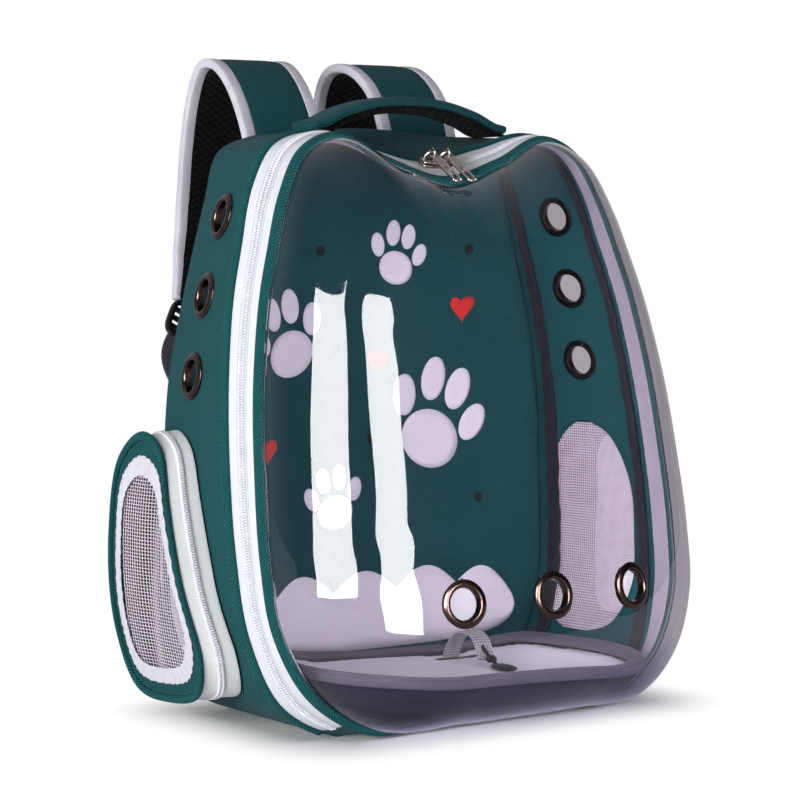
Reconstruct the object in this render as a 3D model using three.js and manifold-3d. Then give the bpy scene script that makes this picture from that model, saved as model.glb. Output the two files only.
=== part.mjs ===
// Pet carrier backpack with a clear domed door, in millimetres.
// X is the viewer's right, -Y the clear front, +Z up. The origin lies on the floor under the base panel.
import * as THREE from "three";
import { mergeVertices } from "three/addons/utils/BufferGeometryUtils.js";
import Module from "manifold-3d";

const wasm = await Module();
wasm.setup();

// Body: planes, walls and gaps
const BACK_Y = 79;
const SEAM_FOOT_Y = -55;
const FRAME_FOOT_Y = -86;
const LEAN = 0.153;
const WALL = 2.4;
const GAP = 0.4;
const HALF_WIDTH = 190;
const SIDE_BULGE = 7;
const BACK_THICK = 6;
const PANEL_TO = 0.992;
const PANEL_STEPS = 4;
const WELD = 0.005;

// Half outlines of the body, from the top middle to the bottom middle
const STATIONS = [
  { place: "top middle", rearX: 0, rearZ: 420, seamX: 0, seamZ: 396, frameX: 0, frameZ: 378 },
  { place: "top quarter", rearX: 54, rearZ: 417, seamX: 50, seamZ: 405, frameX: 48, frameZ: 391 },
  { place: "ear peak", rearX: 100, rearZ: 412, seamX: 96, seamZ: 414, frameX: 92, frameZ: 410 },
  { place: "ear corner", rearX: 126, rearZ: 400, seamX: 130, seamZ: 405, frameX: 121, frameZ: 398 },
  { place: "shoulder", rearX: 137, rearZ: 366, seamX: 151, seamZ: 376, frameX: 140, frameZ: 367 },
  { place: "upper side", rearX: 147, rearZ: 330, seamX: 164, seamZ: 335, frameX: 153, frameZ: 331 },
  { place: "vent side", rearX: 156, rearZ: 295, seamX: 175, seamZ: 296, frameX: 163, frameZ: 298 },
  { place: "waist", rearX: 167, rearZ: 245, seamX: 184, seamZ: 242, frameX: 174, frameZ: 240 },
  { place: "pocket top", rearX: 172, rearZ: 190, seamX: 189, seamZ: 185, frameX: 179, frameZ: 185 },
  { place: "pocket side", rearX: 174, rearZ: 130, seamX: 190, seamZ: 125, frameX: 181, frameZ: 125 },
  { place: "corner start", rearX: 172, rearZ: 72, seamX: 185, seamZ: 72, frameX: 176, frameZ: 78 },
  { place: "corner", rearX: 155, rearZ: 22, seamX: 164, seamZ: 24, frameX: 153, frameZ: 36 },
  { place: "corner end", rearX: 116, rearZ: 0, seamX: 118, seamZ: 0, frameX: 110, frameZ: 8 },
  { place: "bottom", rearX: 58, rearZ: 0, seamX: 58, seamZ: 0, frameX: 55, frameZ: 6.6 },
  { place: "bottom middle", rearX: 0, rearZ: 0, seamX: 0, seamZ: 0, frameX: 0, frameZ: 6.6 },
];
const AROUND = 2 * (STATIONS.length - 1);
const STEPS_PER_STATION = 2;

// Door zip, measured as shares of the strip between the seam and the clear frame
const STRIP_BOW = 1.5;
const STRIP_FADE_Z = 30;
const SEAM_PIPING = { from: 0.01, to: 0.12, low: -1.2, high: 2.4 };
const TAPE_REAR = { from: 0.14, to: 0.37, low: -1.2, high: 0 };
const COIL = { from: 0.39, to: 0.56, low: -1.6, high: 1.4 };
const TAPE_FRONT = { from: 0.58, to: 0.77, low: -1.2, high: 0 };
const FRAME_PIPING = { from: 0.8, to: 0.98, low: -2.6, high: 2.8 };
const HINGE = { from: 0.14, to: 0.77, low: -1.6, high: 0 };

// Seam bindings inside the body, as shares of the way from the rear edge to the zip seam
const INNER_BINDINGS = [
  { name: "back", from: 0.115, to: 0.19 },
  { name: "front", from: 0.9, to: 0.97 },
];
const INNER_BINDING_THICK = 1.4;

// Clear dome
const DOME_WALL = 1.8;
const DOME_CENTRE_Z = 190;
const DOME_DEPTH = 73.5;
const DOME_DEPTH_Z = 98;
const DOME_TAPER = 0.05;
const DOME_POWER = { side: 2.2, top: 2.4, bottom: 7, depth: 2.2 };
const DOME_EASE = { top: 1, bottom: 2.5 };
const DOME_STEPS = 42;
const DOME_RINGS = 7;
const DOME_FROM = 0.002;

// Eyelets
const EYELET = { hole: 11, neck: 12.4, cut: 12.9, flange: 16.8, proud: 2.2, lift: 1.6, back: 1.4 };
const EYELET_SIDES = 15;
const PUNCH_LENGTH = 30;
const SIDE_VENTS = [
  { row: "upper", y: 32, z: 355 },
  { row: "middle", y: 32, z: 300.5 },
  { row: "lower", y: 32, z: 245 },
];
const DOME_VENTS = [
  { row: "left", x: -74.6, z: 97.5 },
  { row: "middle", x: 0, z: 97.5 },
  { row: "right", x: 74.6, z: 97.5 },
];

// Side pocket outlines on the walls, each with the share of it that is the wall's mesh window
const POCKETS = {
  left: {
    middle: { y: 30, z: 105 },
    window: 0.8,
    rows: [
      { place: "top", y: 50, z: 207 },
      { place: "upper front", y: 21, z: 197 },
      { place: "front", y: 3, z: 160 },
      { place: "lower front", y: -15, z: 108 },
      { place: "toe", y: -30, z: 58 },
      { place: "toe corner", y: -18, z: 32 },
      { place: "bottom", y: 22, z: 22 },
      { place: "heel corner", y: 62, z: 27 },
      { place: "heel", y: 75, z: 65 },
      { place: "rear", y: 76, z: 140 },
      { place: "upper rear", y: 71, z: 190 },
    ],
  },
  right: {
    middle: { y: 24, z: 115 },
    window: 0.86,
    rows: [
      { place: "top", y: 42, z: 210 },
      { place: "upper front", y: 8, z: 202 },
      { place: "front", y: -18, z: 161 },
      { place: "lower front", y: -25, z: 109 },
      { place: "toe", y: -26, z: 63 },
      { place: "toe corner", y: -11, z: 33 },
      { place: "bottom", y: 25, z: 23 },
      { place: "heel corner", y: 56, z: 30 },
      { place: "heel", y: 69, z: 74 },
      { place: "rear", y: 69, z: 144 },
      { place: "upper rear", y: 64, z: 190 },
    ],
  },
};
const POCKET_FACE = { x: 217, drop: 18, z: 125, span: 110 };
const POCKET_STEPS = 30;
const POCKET_RIM = 0.97;
const POCKET_LIFT = 2.1;
const POCKET_WINDOW = 0.74;
const WINDOW_EASE = 0.01;
const WINDOW_CUT = { x: 150, depth: 60 };

// Rings of a pocket: shares of the way across their surface, and offsets along its normal
const POCKET_RINGS = {
  wall: { from: 0, to: 0.885, low: -2, high: 0 },
  face: { from: 0.12, to: 0.95, low: -2, high: 0 },
  piping: { from: -0.1, to: 0.1, low: -0.6, high: 3.4 },
  binding: { from: 0.78, to: 1.1, low: 0.4, high: 2 },
  faceMesh: { from: 0.005, to: 1, low: -1.6, high: -0.6 },
  wallMesh: { from: 0, to: 1, low: -1.8, high: -0.6 },
};

// Mat on the base and its tether
const MAT = [
  { place: "back middle", x: 0, y: 68 },
  { place: "back", x: 90, y: 68 },
  { place: "back corner", x: 132, y: 52 },
  { place: "side", x: 142, y: 0 },
  { place: "widest", x: 140, y: -66 },
  { place: "front corner", x: 110, y: -112 },
  { place: "front", x: 56, y: -130 },
  { place: "front middle", x: 0, y: -134 },
];
const MAT_TOP = 25;
const MAT_EDGE = 8;
const MAT_FILL = 12.4;
const MAT_FLOOR = 5;
const MAT_RISE = [
  { side: "front", height: 17, from: 40, over: 94 },
  { side: "back", height: 4, from: 30, over: 38 },
  { side: "flank", height: 16, from: 60, over: 82 },
];
const MAT_ROLL = 0.045;
const MAT_MIDDLE_Y = -30;
const MAT_STEPS = 42;
const MAT_BINDING = { inner: 1.004, outer: 1.03, proud: 0.6 };
const TETHER = [
  { x: 55, y: 40, lift: 1.2 },
  { x: 55, y: 34, lift: 14 },
  { x: 55.5, y: 23, lift: 24 },
  { x: 56, y: 8, lift: 23 },
  { x: 55, y: -1, lift: 13 },
  { x: 53, y: -5, lift: 6 },
];
const TETHER_WIDTH = 15;
const TETHER_HALF = 0.7;
const TETHER_STEPS = 10;
const CLIP = { x: 52, y: -24, length: 36, width: 15, thick: 5, lift: 5.6, sides: 10 };

// Carry handle on the top wall
const HANDLE_Y = 28;
const HANDLE_WIDTH = 32;
const HANDLE_STEPS = 16;
const HANDLE_PAD = { low: -1, high: 5 };
const HANDLE_LINING = { from: 0.08, to: 0.92, low: -3.4, high: -1.4 };
const HANDLE = [
  { x: -85, z: 417.3 },
  { x: -76, z: 419.3 },
  { x: -58, z: 427 },
  { x: -30, z: 434 },
  { x: 0, z: 436 },
  { x: 30, z: 434 },
  { x: 58, z: 427 },
  { x: 76, z: 419.3 },
  { x: 85, z: 417.3 },
];

// Shoulder strap on the +X side: centre line and width
const STRAP = [
  { place: "sewn end", x: 60, y: 89.1, z: 384, width: 68 },
  { place: "top of back", x: 62, y: 96, z: 418, width: 70 },
  { place: "rise", x: 62.5, y: 113, z: 447, width: 70 },
  { place: "crest", x: 60.5, y: 134, z: 461, width: 70 },
  { place: "over", x: 58, y: 153, z: 460, width: 70 },
  { place: "turn", x: 58, y: 164, z: 441, width: 70 },
  { place: "fall", x: 62, y: 167, z: 403, width: 70 },
  { place: "chest", x: 71, y: 161, z: 355, width: 68 },
  { place: "lower", x: 86, y: 152, z: 317, width: 56 },
  { place: "tip", x: 104, y: 143, z: 289, width: 33 },
];
const STRAP_STEPS = 20;
const PAD = { low: 3, high: 9 };
const LINING = { low: 0.4, high: 2.6 };
const HEM = { across: 0.067, along: 0.013, gap: 0.01 };
const OVERRUN = 100;
const BUCKLE = { width: 36, length: 32, thick: 5, slot: 6, bar: 5 };
const WEBBING = [
  { place: "hang", x: 117, y: 112, z: 205 },
  { place: "lower", x: 131, y: 95, z: 130 },
  { place: "turn", x: 136, y: 85, z: 75 },
  { place: "sewn end", x: 136, y: 80.4, z: 36 },
];
const WEBBING_WIDTH = 25;
const WEBBING_HALF = 0.8;
const WEBBING_LEAD = 14;
const WEBBING_STEPS = 14;

// Zip sliders and pulls
const SLIDERS = [
  { side: "left", x: -7 },
  { side: "right", x: 8.5 },
];
const SLIDER = { length: 13, width: 9, thick: 4.4, sit: 4.7 };
const BAIL = { radius: 1.1, rise: 7.6, half: 4.8, foot: 1, arch: 1.29, steps: 8, sides: 4 };
const PULL = { length: 37, bar: 6, loop: 9, rim: 1.8, thick: 2, ring: 3, wire: 0.9, slope: 0.58 };

// Colours and finishes
const finish = (color, roughness, metalness = 0, extra = {}) =>
  new THREE.MeshStandardMaterial({ color, roughness, metalness, ...extra });
const GREEN = finish(0x1f5450, 0.85);
const ROLL = finish(0x2f6f66, 0.8);
const WHITE = finish(0xf2f4f6, 0.75);
const SILVER = finish(0xbdb8c4, 0.6);
const MESH = finish(0xcfc3cc, 0.9);
const BLACK = finish(0x17171a, 0.8);
const GREY = finish(0x3b3a44, 0.85);
const LILAC = finish(0xcdc8d6, 0.9);
const CLEAR = finish(0xe4dfe8, 0.05, 0, { transparent: true, opacity: 0.25 });
const BRONZE = finish(0x3c2f2a, 0.3, 1);
const NICKEL = finish(0x8f8a88, 0.25, 1);
const PLASTIC = finish(0x141416, 0.45);

const carrier = new THREE.Group();
const v3 = (x, y, z) => new THREE.Vector3(x, y, z);

function add(parent, name, geometry, material) {
  const mesh = new THREE.Mesh(geometry, material);
  mesh.name = name;
  parent.add(mesh);
  return mesh;
}

// A closed body from points and four-sided faces, with meeting points merged and flat corners dropped
function body(points, faces) {
  const seen = new Map();
  const merged = [];
  const index = points.map((p) => {
    const key = p.toArray().map((c) => Math.round(c / WELD)).join();
    if (!seen.has(key)) {
      seen.set(key, merged.length);
      merged.push(p);
    }
    return seen.get(key);
  });
  const triangles = faces
    .flatMap(([a, b, c, d]) => [[a, b, c], [a, c, d]])
    .map((t) => t.map((i) => index[i]))
    .filter(([a, b, c]) => a !== b && b !== c && c !== a);
  const geometry = new THREE.BufferGeometry().setFromPoints(merged);
  return geometry.setIndex(triangles.flat());
}

// Outward normal of surface(s, v), by small steps either way; at a pole, from three points round it
function normal(surface, s, v) {
  const e = 0.002;
  const here = surface(s, v);
  if (here.distanceTo(surface(s + 0.5, v)) < 0.01) {
    const [a, b, c] = [0, 1 / 3, 2 / 3].map((t) => surface(t, v - 10 * e));
    return c.sub(a).cross(b.sub(a)).normalize();
  }
  const w = Math.min(v, 1 - 4 * e);
  const along = surface(s + e, w).sub(surface(s - e, w));
  const across = surface(s, w + e).sub(surface(s, w - e));
  return across.cross(along).normalize();
}

// A closed body between an outer and an inner surface over s and v; a loop closes on itself in s
function shell(outerAt, innerAt, { from = [0, 0], to = [1, 1], steps, loop = false }) {
  const [ns, nv] = steps;
  const columns = loop ? ns : ns + 1;
  const points = [];
  for (const at of [outerAt, innerAt])
    for (let i = 0; i < columns; i++)
      for (let j = 0; j <= nv; j++)
        points.push(at(from[0] + ((to[0] - from[0]) * i) / ns, from[1] + ((to[1] - from[1]) * j) / nv));
  const outer = (i, j) => (i % columns) * (nv + 1) + j;
  const inner = (i, j) => outer(i, j) + columns * (nv + 1);
  const faces = [];
  for (let i = 0; i < ns; i++) {
    for (let j = 0; j < nv; j++) {
      faces.push([outer(i, j), outer(i, j + 1), outer(i + 1, j + 1), outer(i + 1, j)]);
      faces.push([inner(i, j), inner(i + 1, j), inner(i + 1, j + 1), inner(i, j + 1)]);
    }
    faces.push([outer(i, 0), outer(i + 1, 0), inner(i + 1, 0), inner(i, 0)]);
    faces.push([outer(i + 1, nv), outer(i, nv), inner(i, nv), inner(i + 1, nv)]);
  }
  for (let j = 0; j < nv && !loop; j++) {
    faces.push([outer(0, j + 1), outer(0, j), inner(0, j), inner(0, j + 1)]);
    faces.push([outer(ns, j), outer(ns, j + 1), inner(ns, j + 1), inner(ns, j)]);
  }
  return body(points, faces);
}

// A wall that fills a surface between two offsets along its normal
function slab(surface, { low, high, ...grid }) {
  const raised = (offset) => (s, v) => surface(s, v).addScaledVector(normal(surface, s, v), offset);
  return shell(raised(high), raised(low), grid);
}

// Joins and cuts of closed geometries
function solid(geometry) {
  const bare = geometry.clone();
  bare.deleteAttribute("normal");
  bare.deleteAttribute("uv");
  const welded = mergeVertices(bare, 1e-3);
  const vertProperties = new Float32Array(welded.attributes.position.array);
  const triVerts = new Uint32Array(welded.index.array);
  return new wasm.Manifold(new wasm.Mesh({ numProp: 3, vertProperties, triVerts }));
}
function geometryOf(manifold) {
  const mesh = manifold.getMesh();
  const geometry = new THREE.BufferGeometry();
  geometry.setAttribute("position", new THREE.BufferAttribute(mesh.vertProperties, 3));
  return geometry.setIndex(new THREE.BufferAttribute(mesh.triVerts, 1));
}
const cut = (geometry, tools) =>
  geometryOf(tools.reduce((left, tool) => left.subtract(solid(tool)), solid(geometry)));
const join = (geometries) =>
  geometryOf(geometries.map(solid).reduce((all, next) => all.add(next)));

// Turns a geometry's +Z axis to a direction and moves it to a place
function aim(geometry, place, direction) {
  const turn = new THREE.Quaternion().setFromUnitVectors(v3(0, 0, 1), direction);
  return geometry.applyQuaternion(turn).translate(place.x, place.y, place.z);
}

// A rectangle in the plane about a middle
function rectangle(x, y, width, length) {
  const [a, b] = [width / 2, length / 2];
  const corners = [[-a, -b], [a, -b], [a, b], [-a, b]].map(([dx, dy]) => new THREE.Vector2(x + dx, y + dy));
  return new THREE.Shape(corners);
}

// Body outlines: closed curves through the stations, flat on the floor
function outline(xKey, zKey, footY, lean) {
  const half = STATIONS.map((row) => v3(row[xKey], 0, row[zKey]));
  const mirrored = half.slice(1, -1).reverse().map((p) => v3(-p.x, 0, p.z));
  const curve = new THREE.CatmullRomCurve3([...half, ...mirrored], true, "centripetal");
  return (s) => {
    const p = curve.getPoint(((s % 1) + 1) % 1);
    p.z = Math.max(p.z, 0);
    p.y = footY + lean * p.z;
    return p;
  };
}
const rearLine = outline("rearX", "rearZ", BACK_Y, 0);
const seamLine = outline("seamX", "seamZ", SEAM_FOOT_Y, LEAN);
const frameLine = outline("frameX", "frameZ", FRAME_FOOT_Y, LEAN);
const station = (place) => STATIONS.findIndex((row) => row.place === place) / AROUND;

// Fabric body from the rear edge (v = 0) to the zip seam (v = 1), its sides slightly swollen
function gusset(s, v) {
  const p = rearLine(s).lerp(seamLine(s), v);
  p.x += Math.sign(p.x) * SIDE_BULGE * 2 * v * (1 - v) * (p.x / HALF_WIDTH) ** 4;
  return p;
}

// Zip strip from the seam (v = 0) to the clear frame (v = 1), slightly bowed outwards
function zipStrip(s, v) {
  const p = seamLine(s).lerp(frameLine(s), v);
  const out = v3(p.x, 0, p.z - DOME_CENTRE_Z).normalize();
  const bow = STRIP_BOW * 4 * v * (1 - v) * Math.min(1, p.z / STRIP_FADE_Z);
  return p.addScaledVector(out, bow);
}

// Clear dome from the frame (v = 0) to its middle (v = 1): the frame line shrinks as the depth grows
function dome(s, v) {
  const rim = frameLine(s);
  const reach = v3(rim.x, 0, rim.z - DOME_CENTRE_Z);
  const half = reach.z > 0 ? "top" : "bottom";
  const share = (reach.z ** 2 / reach.lengthSq()) ** DOME_EASE[half];
  const power = DOME_POWER.side * (1 - share) + DOME_POWER[half] * share;
  const turn = (Math.PI / 2) * Math.min(v, 1);
  const shrink = Math.cos(turn) ** (2 / power);
  const z = DOME_CENTRE_Z + reach.z * shrink;
  const deepest = DOME_DEPTH - DOME_TAPER * (z - DOME_DEPTH_Z);
  const depth = deepest * Math.sin(turn) ** (2 / DOME_POWER.depth);
  return v3(reach.x * shrink, FRAME_FOOT_Y + LEAN * z - depth, z);
}

// Halves an interval until f changes sign
function root(f, low, high) {
  const sign = Math.sign(f(low));
  for (let k = 0; k < 40; k++) {
    const middle = (low + high) / 2;
    if (Math.sign(f(middle)) === sign) low = middle;
    else high = middle;
  }
  return (low + high) / 2;
}

// Side wall's surface place at a depth y and a height z, on the +X side
function onWall(y, z) {
  const share = (s) => (BACK_Y - y) / (BACK_Y - seamLine(s).y);
  const s = root((t) => gusset(t, share(t)).z - z, station("ear corner"), station("corner end"));
  return { s, v: share(s), point: gusset(s, share(s)) };
}

// Dome's surface place in front of a point x, z of the frame plane
function onDome(x, z) {
  const angle = (p) => Math.atan2(p.x, p.z - DOME_CENTRE_Z);
  const side = Math.abs(x);
  const s = root((t) => angle(frameLine(t)) - Math.atan2(side, z - DOME_CENTRE_Z), 0, 0.5);
  const far = (v) => dome(s, v).setY(0).distanceTo(v3(0, 0, DOME_CENTRE_Z));
  const v = root((t) => far(t) - Math.hypot(side, z - DOME_CENTRE_Z), 0, 1);
  const turned = x < 0 ? 1 - s : s;
  return { point: dome(turned, v), out: normal(dome, turned, v) };
}

const ringSteps = (from, to) => Math.round((to - from) * AROUND * STEPS_PER_STATION);

// Fabric panels: back, top, sides and base
const seamGap = GAP / 1000;
function panel(from, to) {
  const a = from + seamGap;
  const b = to - seamGap;
  const steps = [ringSteps(from, to), PANEL_STEPS];
  return slab(gusset, { from: [a, 0], to: [b, PANEL_TO], steps, low: -WALL, high: 0 });
}
const topCorner = station("ear corner");
const footCorner = station("corner end");
add(carrier, "top_wall", panel(-topCorner, topCorner), GREEN);
add(carrier, "base_panel", panel(footCorner, 1 - footCorner), GREEN);

// Back panel: a flat plate inside the walls, clear of them at both of its faces
const backMiddle = v3(0, BACK_Y, DOME_CENTRE_Z);
function flatBack(s, v) {
  const inside = [0, BACK_THICK / (BACK_Y - seamLine(s).y)].map((w) =>
    gusset(s, w).addScaledVector(normal(gusset, s, w + 0.01), -WALL - 2 * GAP).setY(BACK_Y),
  );
  inside.sort((a, b) => a.distanceTo(backMiddle) - b.distanceTo(backMiddle));
  return inside[0].lerp(backMiddle, v);
}
const wholeRing = { steps: [AROUND * STEPS_PER_STATION, 1], loop: true };
const plate = slab(flatBack, { ...wholeRing, low: 0, high: BACK_THICK });
add(carrier, "back_panel", plate, GREEN);

// Zip strip rings: the zip runs over the top from one bottom corner to the other
// and the hinge cloth closes the rest
function strip({ from, to, low, high }, start, end) {
  const steps = [ringSteps(start, end), 1];
  return slab(zipStrip, { from: [start, from], to: [end, to], steps, low, high, loop: end - start === 1 });
}
const zipEnd = footCorner - 0.3 / AROUND;
add(carrier, "seam_piping", strip(SEAM_PIPING, -zipEnd, zipEnd), ROLL);
add(carrier, "frame_piping", strip(FRAME_PIPING, 0, 1), ROLL);
add(carrier, "zip_tape_rear", strip(TAPE_REAR, -zipEnd, zipEnd), WHITE);
add(carrier, "zip_coil", strip(COIL, -zipEnd, zipEnd), WHITE);
add(carrier, "zip_tape_front", strip(TAPE_FRONT, -zipEnd, zipEnd), WHITE);
add(carrier, "door_hinge", strip(HINGE, zipEnd + seamGap, 1 - zipEnd - seamGap), GREEN);

// Eyelet: a turned ring with a neck through the wall, a domed outer flange and a flat inner one
function eyelet(wall) {
  const { hole, neck, flange, proud, lift, back } = EYELET;
  const profile = [
    [hole, lift + proud * 0.6],
    [hole + 2, lift + proud],
    [flange, lift],
    [neck, lift],
    [neck, -wall - lift],
    [flange - 1, -wall - lift],
    [hole, -wall - lift - back],
    [hole, lift + proud * 0.6],
  ].map(([r, z]) => new THREE.Vector2(r, z));
  return new THREE.LatheGeometry(profile.reverse(), EYELET_SIDES).rotateX(Math.PI / 2);
}
const punch = () =>
  new THREE.CylinderGeometry(EYELET.cut, EYELET.cut, PUNCH_LENGTH, EYELET_SIDES).rotateX(Math.PI / 2);

// Clear dome with three vents; its edge lies inside the frame piping
const domeWall = slab(dome, {
  from: [0, DOME_FROM],
  steps: [DOME_STEPS, DOME_RINGS],
  low: -DOME_WALL,
  high: 0,
  loop: true,
});
const domeSeats = DOME_VENTS.map(({ row, x, z }) => ({ row, ...onDome(x, z) }));
const domeCuts = domeSeats.map(({ point, out }) => aim(punch(), point, out));
add(carrier, "clear_dome", cut(domeWall, domeCuts), CLEAR);
for (const { row, point, out } of domeSeats)
  add(carrier, "dome_eyelet_" + row, aim(eyelet(DOME_WALL), point, out), BRONZE);

// Side walls, pockets, vents and straps, made on the +X side and mirrored for the other
const wallX = (y, z) => onWall(y, z).point.x;
const faceX = (z) => POCKET_FACE.x - POCKET_FACE.drop * ((z - POCKET_FACE.z) / POCKET_FACE.span) ** 2;

// A pocket's outline as a function of a turn t and a scale about its middle
function pocketLine({ rows, middle }) {
  const points = rows.map(({ y, z }) => v3(0, y, z)).reverse();
  const curve = new THREE.CatmullRomCurve3(points, true, "centripetal");
  const centre = v3(0, middle.y, middle.z);
  return (t, scale) => curve.getPoint(((t % 1) + 1) % 1).sub(centre).multiplyScalar(scale).add(centre);
}

// The wall's mesh window as a block through the wall
function windowBlock(line, scale) {
  const turns = [...Array(POCKET_STEPS).keys()].map((k) => line(k / POCKET_STEPS, scale));
  const shape = new THREE.Shape(turns.map((p) => new THREE.Vector2(p.y, p.z)));
  const block = new THREE.ExtrudeGeometry(shape, { depth: WINDOW_CUT.depth, bevelEnabled: false });
  return block.rotateX(Math.PI / 2).rotateZ(Math.PI / 2).translate(WINDOW_CUT.x, 0, 0);
}

function addPocket(side, name) {
  const line = pocketLine(POCKETS[name]);
  const { window } = POCKETS[name];
  const onFace = (t, scale) => {
    const p = line(t, scale);
    return p.setX(faceX(p.z));
  };
  const sideStrip = (t, v) => {
    const foot = line(t, 1);
    foot.x = wallX(foot.y, foot.z) + POCKET_LIFT;
    return foot.lerp(onFace(t, POCKET_RIM), v);
  };
  const front = (t, v) => onFace(t, POCKET_RIM + (POCKET_WINDOW - POCKET_RIM) * v);
  const frontNet = (t, v) => onFace(t, POCKET_WINDOW * (1 - v));
  const wallNet = (t, v) => {
    const p = line(t, window * (1 - v));
    return p.setX(wallX(p.y, p.z));
  };
  const ring = (surface, { from, to, low, high }) =>
    slab(surface, { from: [0, from], to: [1, to], steps: [POCKET_STEPS, 1], loop: true, low, high });
  add(side, "pocket_wall_" + name, ring(sideStrip, POCKET_RINGS.wall), WHITE);
  add(side, "pocket_face_" + name, ring(front, POCKET_RINGS.face), GREEN);
  add(side, "pocket_piping_" + name, ring(front, POCKET_RINGS.piping), ROLL);
  add(side, "window_binding_" + name, ring(front, POCKET_RINGS.binding), WHITE);
  add(side, "pocket_mesh_" + name, ring(frontNet, POCKET_RINGS.faceMesh), MESH);
  add(side, "wall_mesh_" + name, ring(wallNet, POCKET_RINGS.wallMesh), MESH);
}

function addWall(side, name) {
  const seats = SIDE_VENTS.map(({ row, y, z }) => {
    const { s, v, point } = onWall(y, z);
    return { row, point, out: normal(gusset, s, v) };
  });
  const holes = seats.map(({ point, out }) => aim(punch(), point, out));
  const wall = panel(topCorner, footCorner);
  const hole = windowBlock(pocketLine(POCKETS[name]), POCKETS[name].window + WINDOW_EASE);
  add(side, "side_wall_" + name, cut(wall, [...holes, hole]), GREEN);
  for (const { row, point, out } of seats)
    add(side, "side_eyelet_" + row + "_" + name, aim(eyelet(WALL), point, out), BRONZE);
}

// A ribbon along a centre line, its width level with X as far as the line allows
function ribbon(rows, widths) {
  const curve = new THREE.CatmullRomCurve3(rows.map(({ x, y, z }) => v3(x, y, z)), false, "centripetal");
  const wide = new THREE.SplineCurve(widths.map((w, k) => new THREE.Vector2(k, w)));
  return (s, v) => {
    const t = Math.min(Math.max(s, 0), 1);
    const along = curve.getTangent(t);
    const across = v3(1, 0, 0).addScaledVector(along, -along.x).normalize();
    const centre = curve.getPoint(t).addScaledVector(along, (s - t) * OVERRUN);
    return centre.addScaledVector(across, (v - 0.5) * wide.getPoint(t).y);
  };
}

// Ladder buckle: a flat frame with two slots, its length along Y
function ladder() {
  const { width, length, thick, slot, bar } = BUCKLE;
  const plan = rectangle(0, 0, width, length);
  for (const y of [-1, 1]) plan.holes.push(rectangle(0, (y * (slot + bar)) / 2, width - 2 * bar, slot));
  const plate = new THREE.ExtrudeGeometry(plan, { depth: thick, bevelEnabled: false });
  return plate.translate(0, 0, -thick / 2);
}

function addStrap(side, name) {
  const surface = ribbon(STRAP, STRAP.map((row) => row.width));
  const far = [1 - HEM.along, 1 - HEM.across];
  const field = { from: [HEM.along, HEM.across], to: far, steps: [STRAP_STEPS, 2] };
  add(side, "strap_pad_" + name, slab(surface, { ...field, ...PAD }), GREEN);
  add(side, "strap_lining_" + name, slab(surface, { ...field, ...LINING }), BLACK);
  const hemTo = HEM.across - HEM.gap;
  for (const [edge, from, to] of [["inner", 0, hemTo], ["outer", 1 - hemTo, 1]]) {
    const hem = { from: [0, from], to: [1, to], steps: [STRAP_STEPS, 1] };
    const cover = { low: LINING.low - GAP, high: PAD.high + GAP };
    add(side, "strap_binding_" + edge + "_" + name, slab(surface, { ...hem, ...cover }), SILVER);
  }
  const reach = (BUCKLE.length + 2 * GAP) / OVERRUN;
  const middle = 1 + reach / 2;
  const along = surface(middle + 0.01, 0.5).sub(surface(middle, 0.5)).normalize();
  const across = surface(middle, 1).sub(surface(middle, 0)).normalize();
  const buckle = add(side, "buckle_" + name, ladder(), PLASTIC);
  buckle.position.copy(surface(middle, 0.5));
  buckle.setRotationFromMatrix(new THREE.Matrix4().makeBasis(across, along, across.clone().cross(along)));
  const lead = [GAP, WEBBING_LEAD].map((past) => surface(1 + reach + past / OVERRUN, 0.5));
  const beltRows = [...lead, ...WEBBING];
  const belt = ribbon(beltRows, beltRows.map(() => WEBBING_WIDTH));
  const beltBody = slab(belt, { steps: [WEBBING_STEPS, 1], low: -WEBBING_HALF, high: WEBBING_HALF });
  add(side, "webbing_" + name, beltBody, GREY);
}

for (const [name, sign] of [["right", 1], ["left", -1]]) {
  const side = new THREE.Group();
  side.scale.x = sign;
  carrier.add(side);
  addWall(side, name);
  addPocket(side, name);
  addStrap(side, name);
}

// Seam bindings inside the body, along the back panel and along the zip
for (const { name, from, to } of INNER_BINDINGS) {
  const ring = { from: [0, from], to: [1, to], ...wholeRing };
  const high = -WALL - 2 * GAP;
  const hem = slab(gusset, { ...ring, low: high - INNER_BINDING_THICK, high });
  add(carrier, "inner_binding_" + name, hem, GREY);
}

// Mat: a thick pad on the base whose edges ride up the walls, with a bound edge
const matHalf = MAT.map(({ x, y }) => v3(x, y, 0));
const matOther = matHalf.slice(1, -1).reverse().map((p) => v3(-p.x, p.y, 0));
const matCurve = new THREE.CatmullRomCurve3([...matHalf, ...matOther], true, "centripetal");
function matZ(x, y) {
  const reach = { front: -y, back: y, flank: Math.abs(x) };
  const rise = ({ side, height, from, over }) => height * (Math.max(0, reach[side] - from) / over) ** 2;
  return MAT_TOP - MAT_ROLL * x + MAT_RISE.reduce((sum, row) => sum + rise(row), 0);
}
function matPlan(s, scale) {
  const p = matCurve.getPoint(((s % 1) + 1) % 1);
  const y = MAT_MIDDLE_Y + (p.y - MAT_MIDDLE_Y) * scale;
  return v3(p.x * scale, y, matZ(p.x * scale, y));
}
const matTop = (s, v) => matPlan(s, 1 - v);
const matUnder = (s, v) => {
  const p = matTop(s, v);
  p.z = Math.max(MAT_FLOOR, p.z - MAT_EDGE - MAT_FILL * (1 - (1 - v) ** 2));
  return p;
};
add(carrier, "mat", shell(matTop, matUnder, { steps: [MAT_STEPS, 3], loop: true }), LILAC);
const bindingPlan = (drop) => (s, v) => {
  const p = matPlan(s, THREE.MathUtils.lerp(MAT_BINDING.outer, MAT_BINDING.inner, v));
  p.z += drop;
  return p;
};
const hemTop = bindingPlan(MAT_BINDING.proud);
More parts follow.
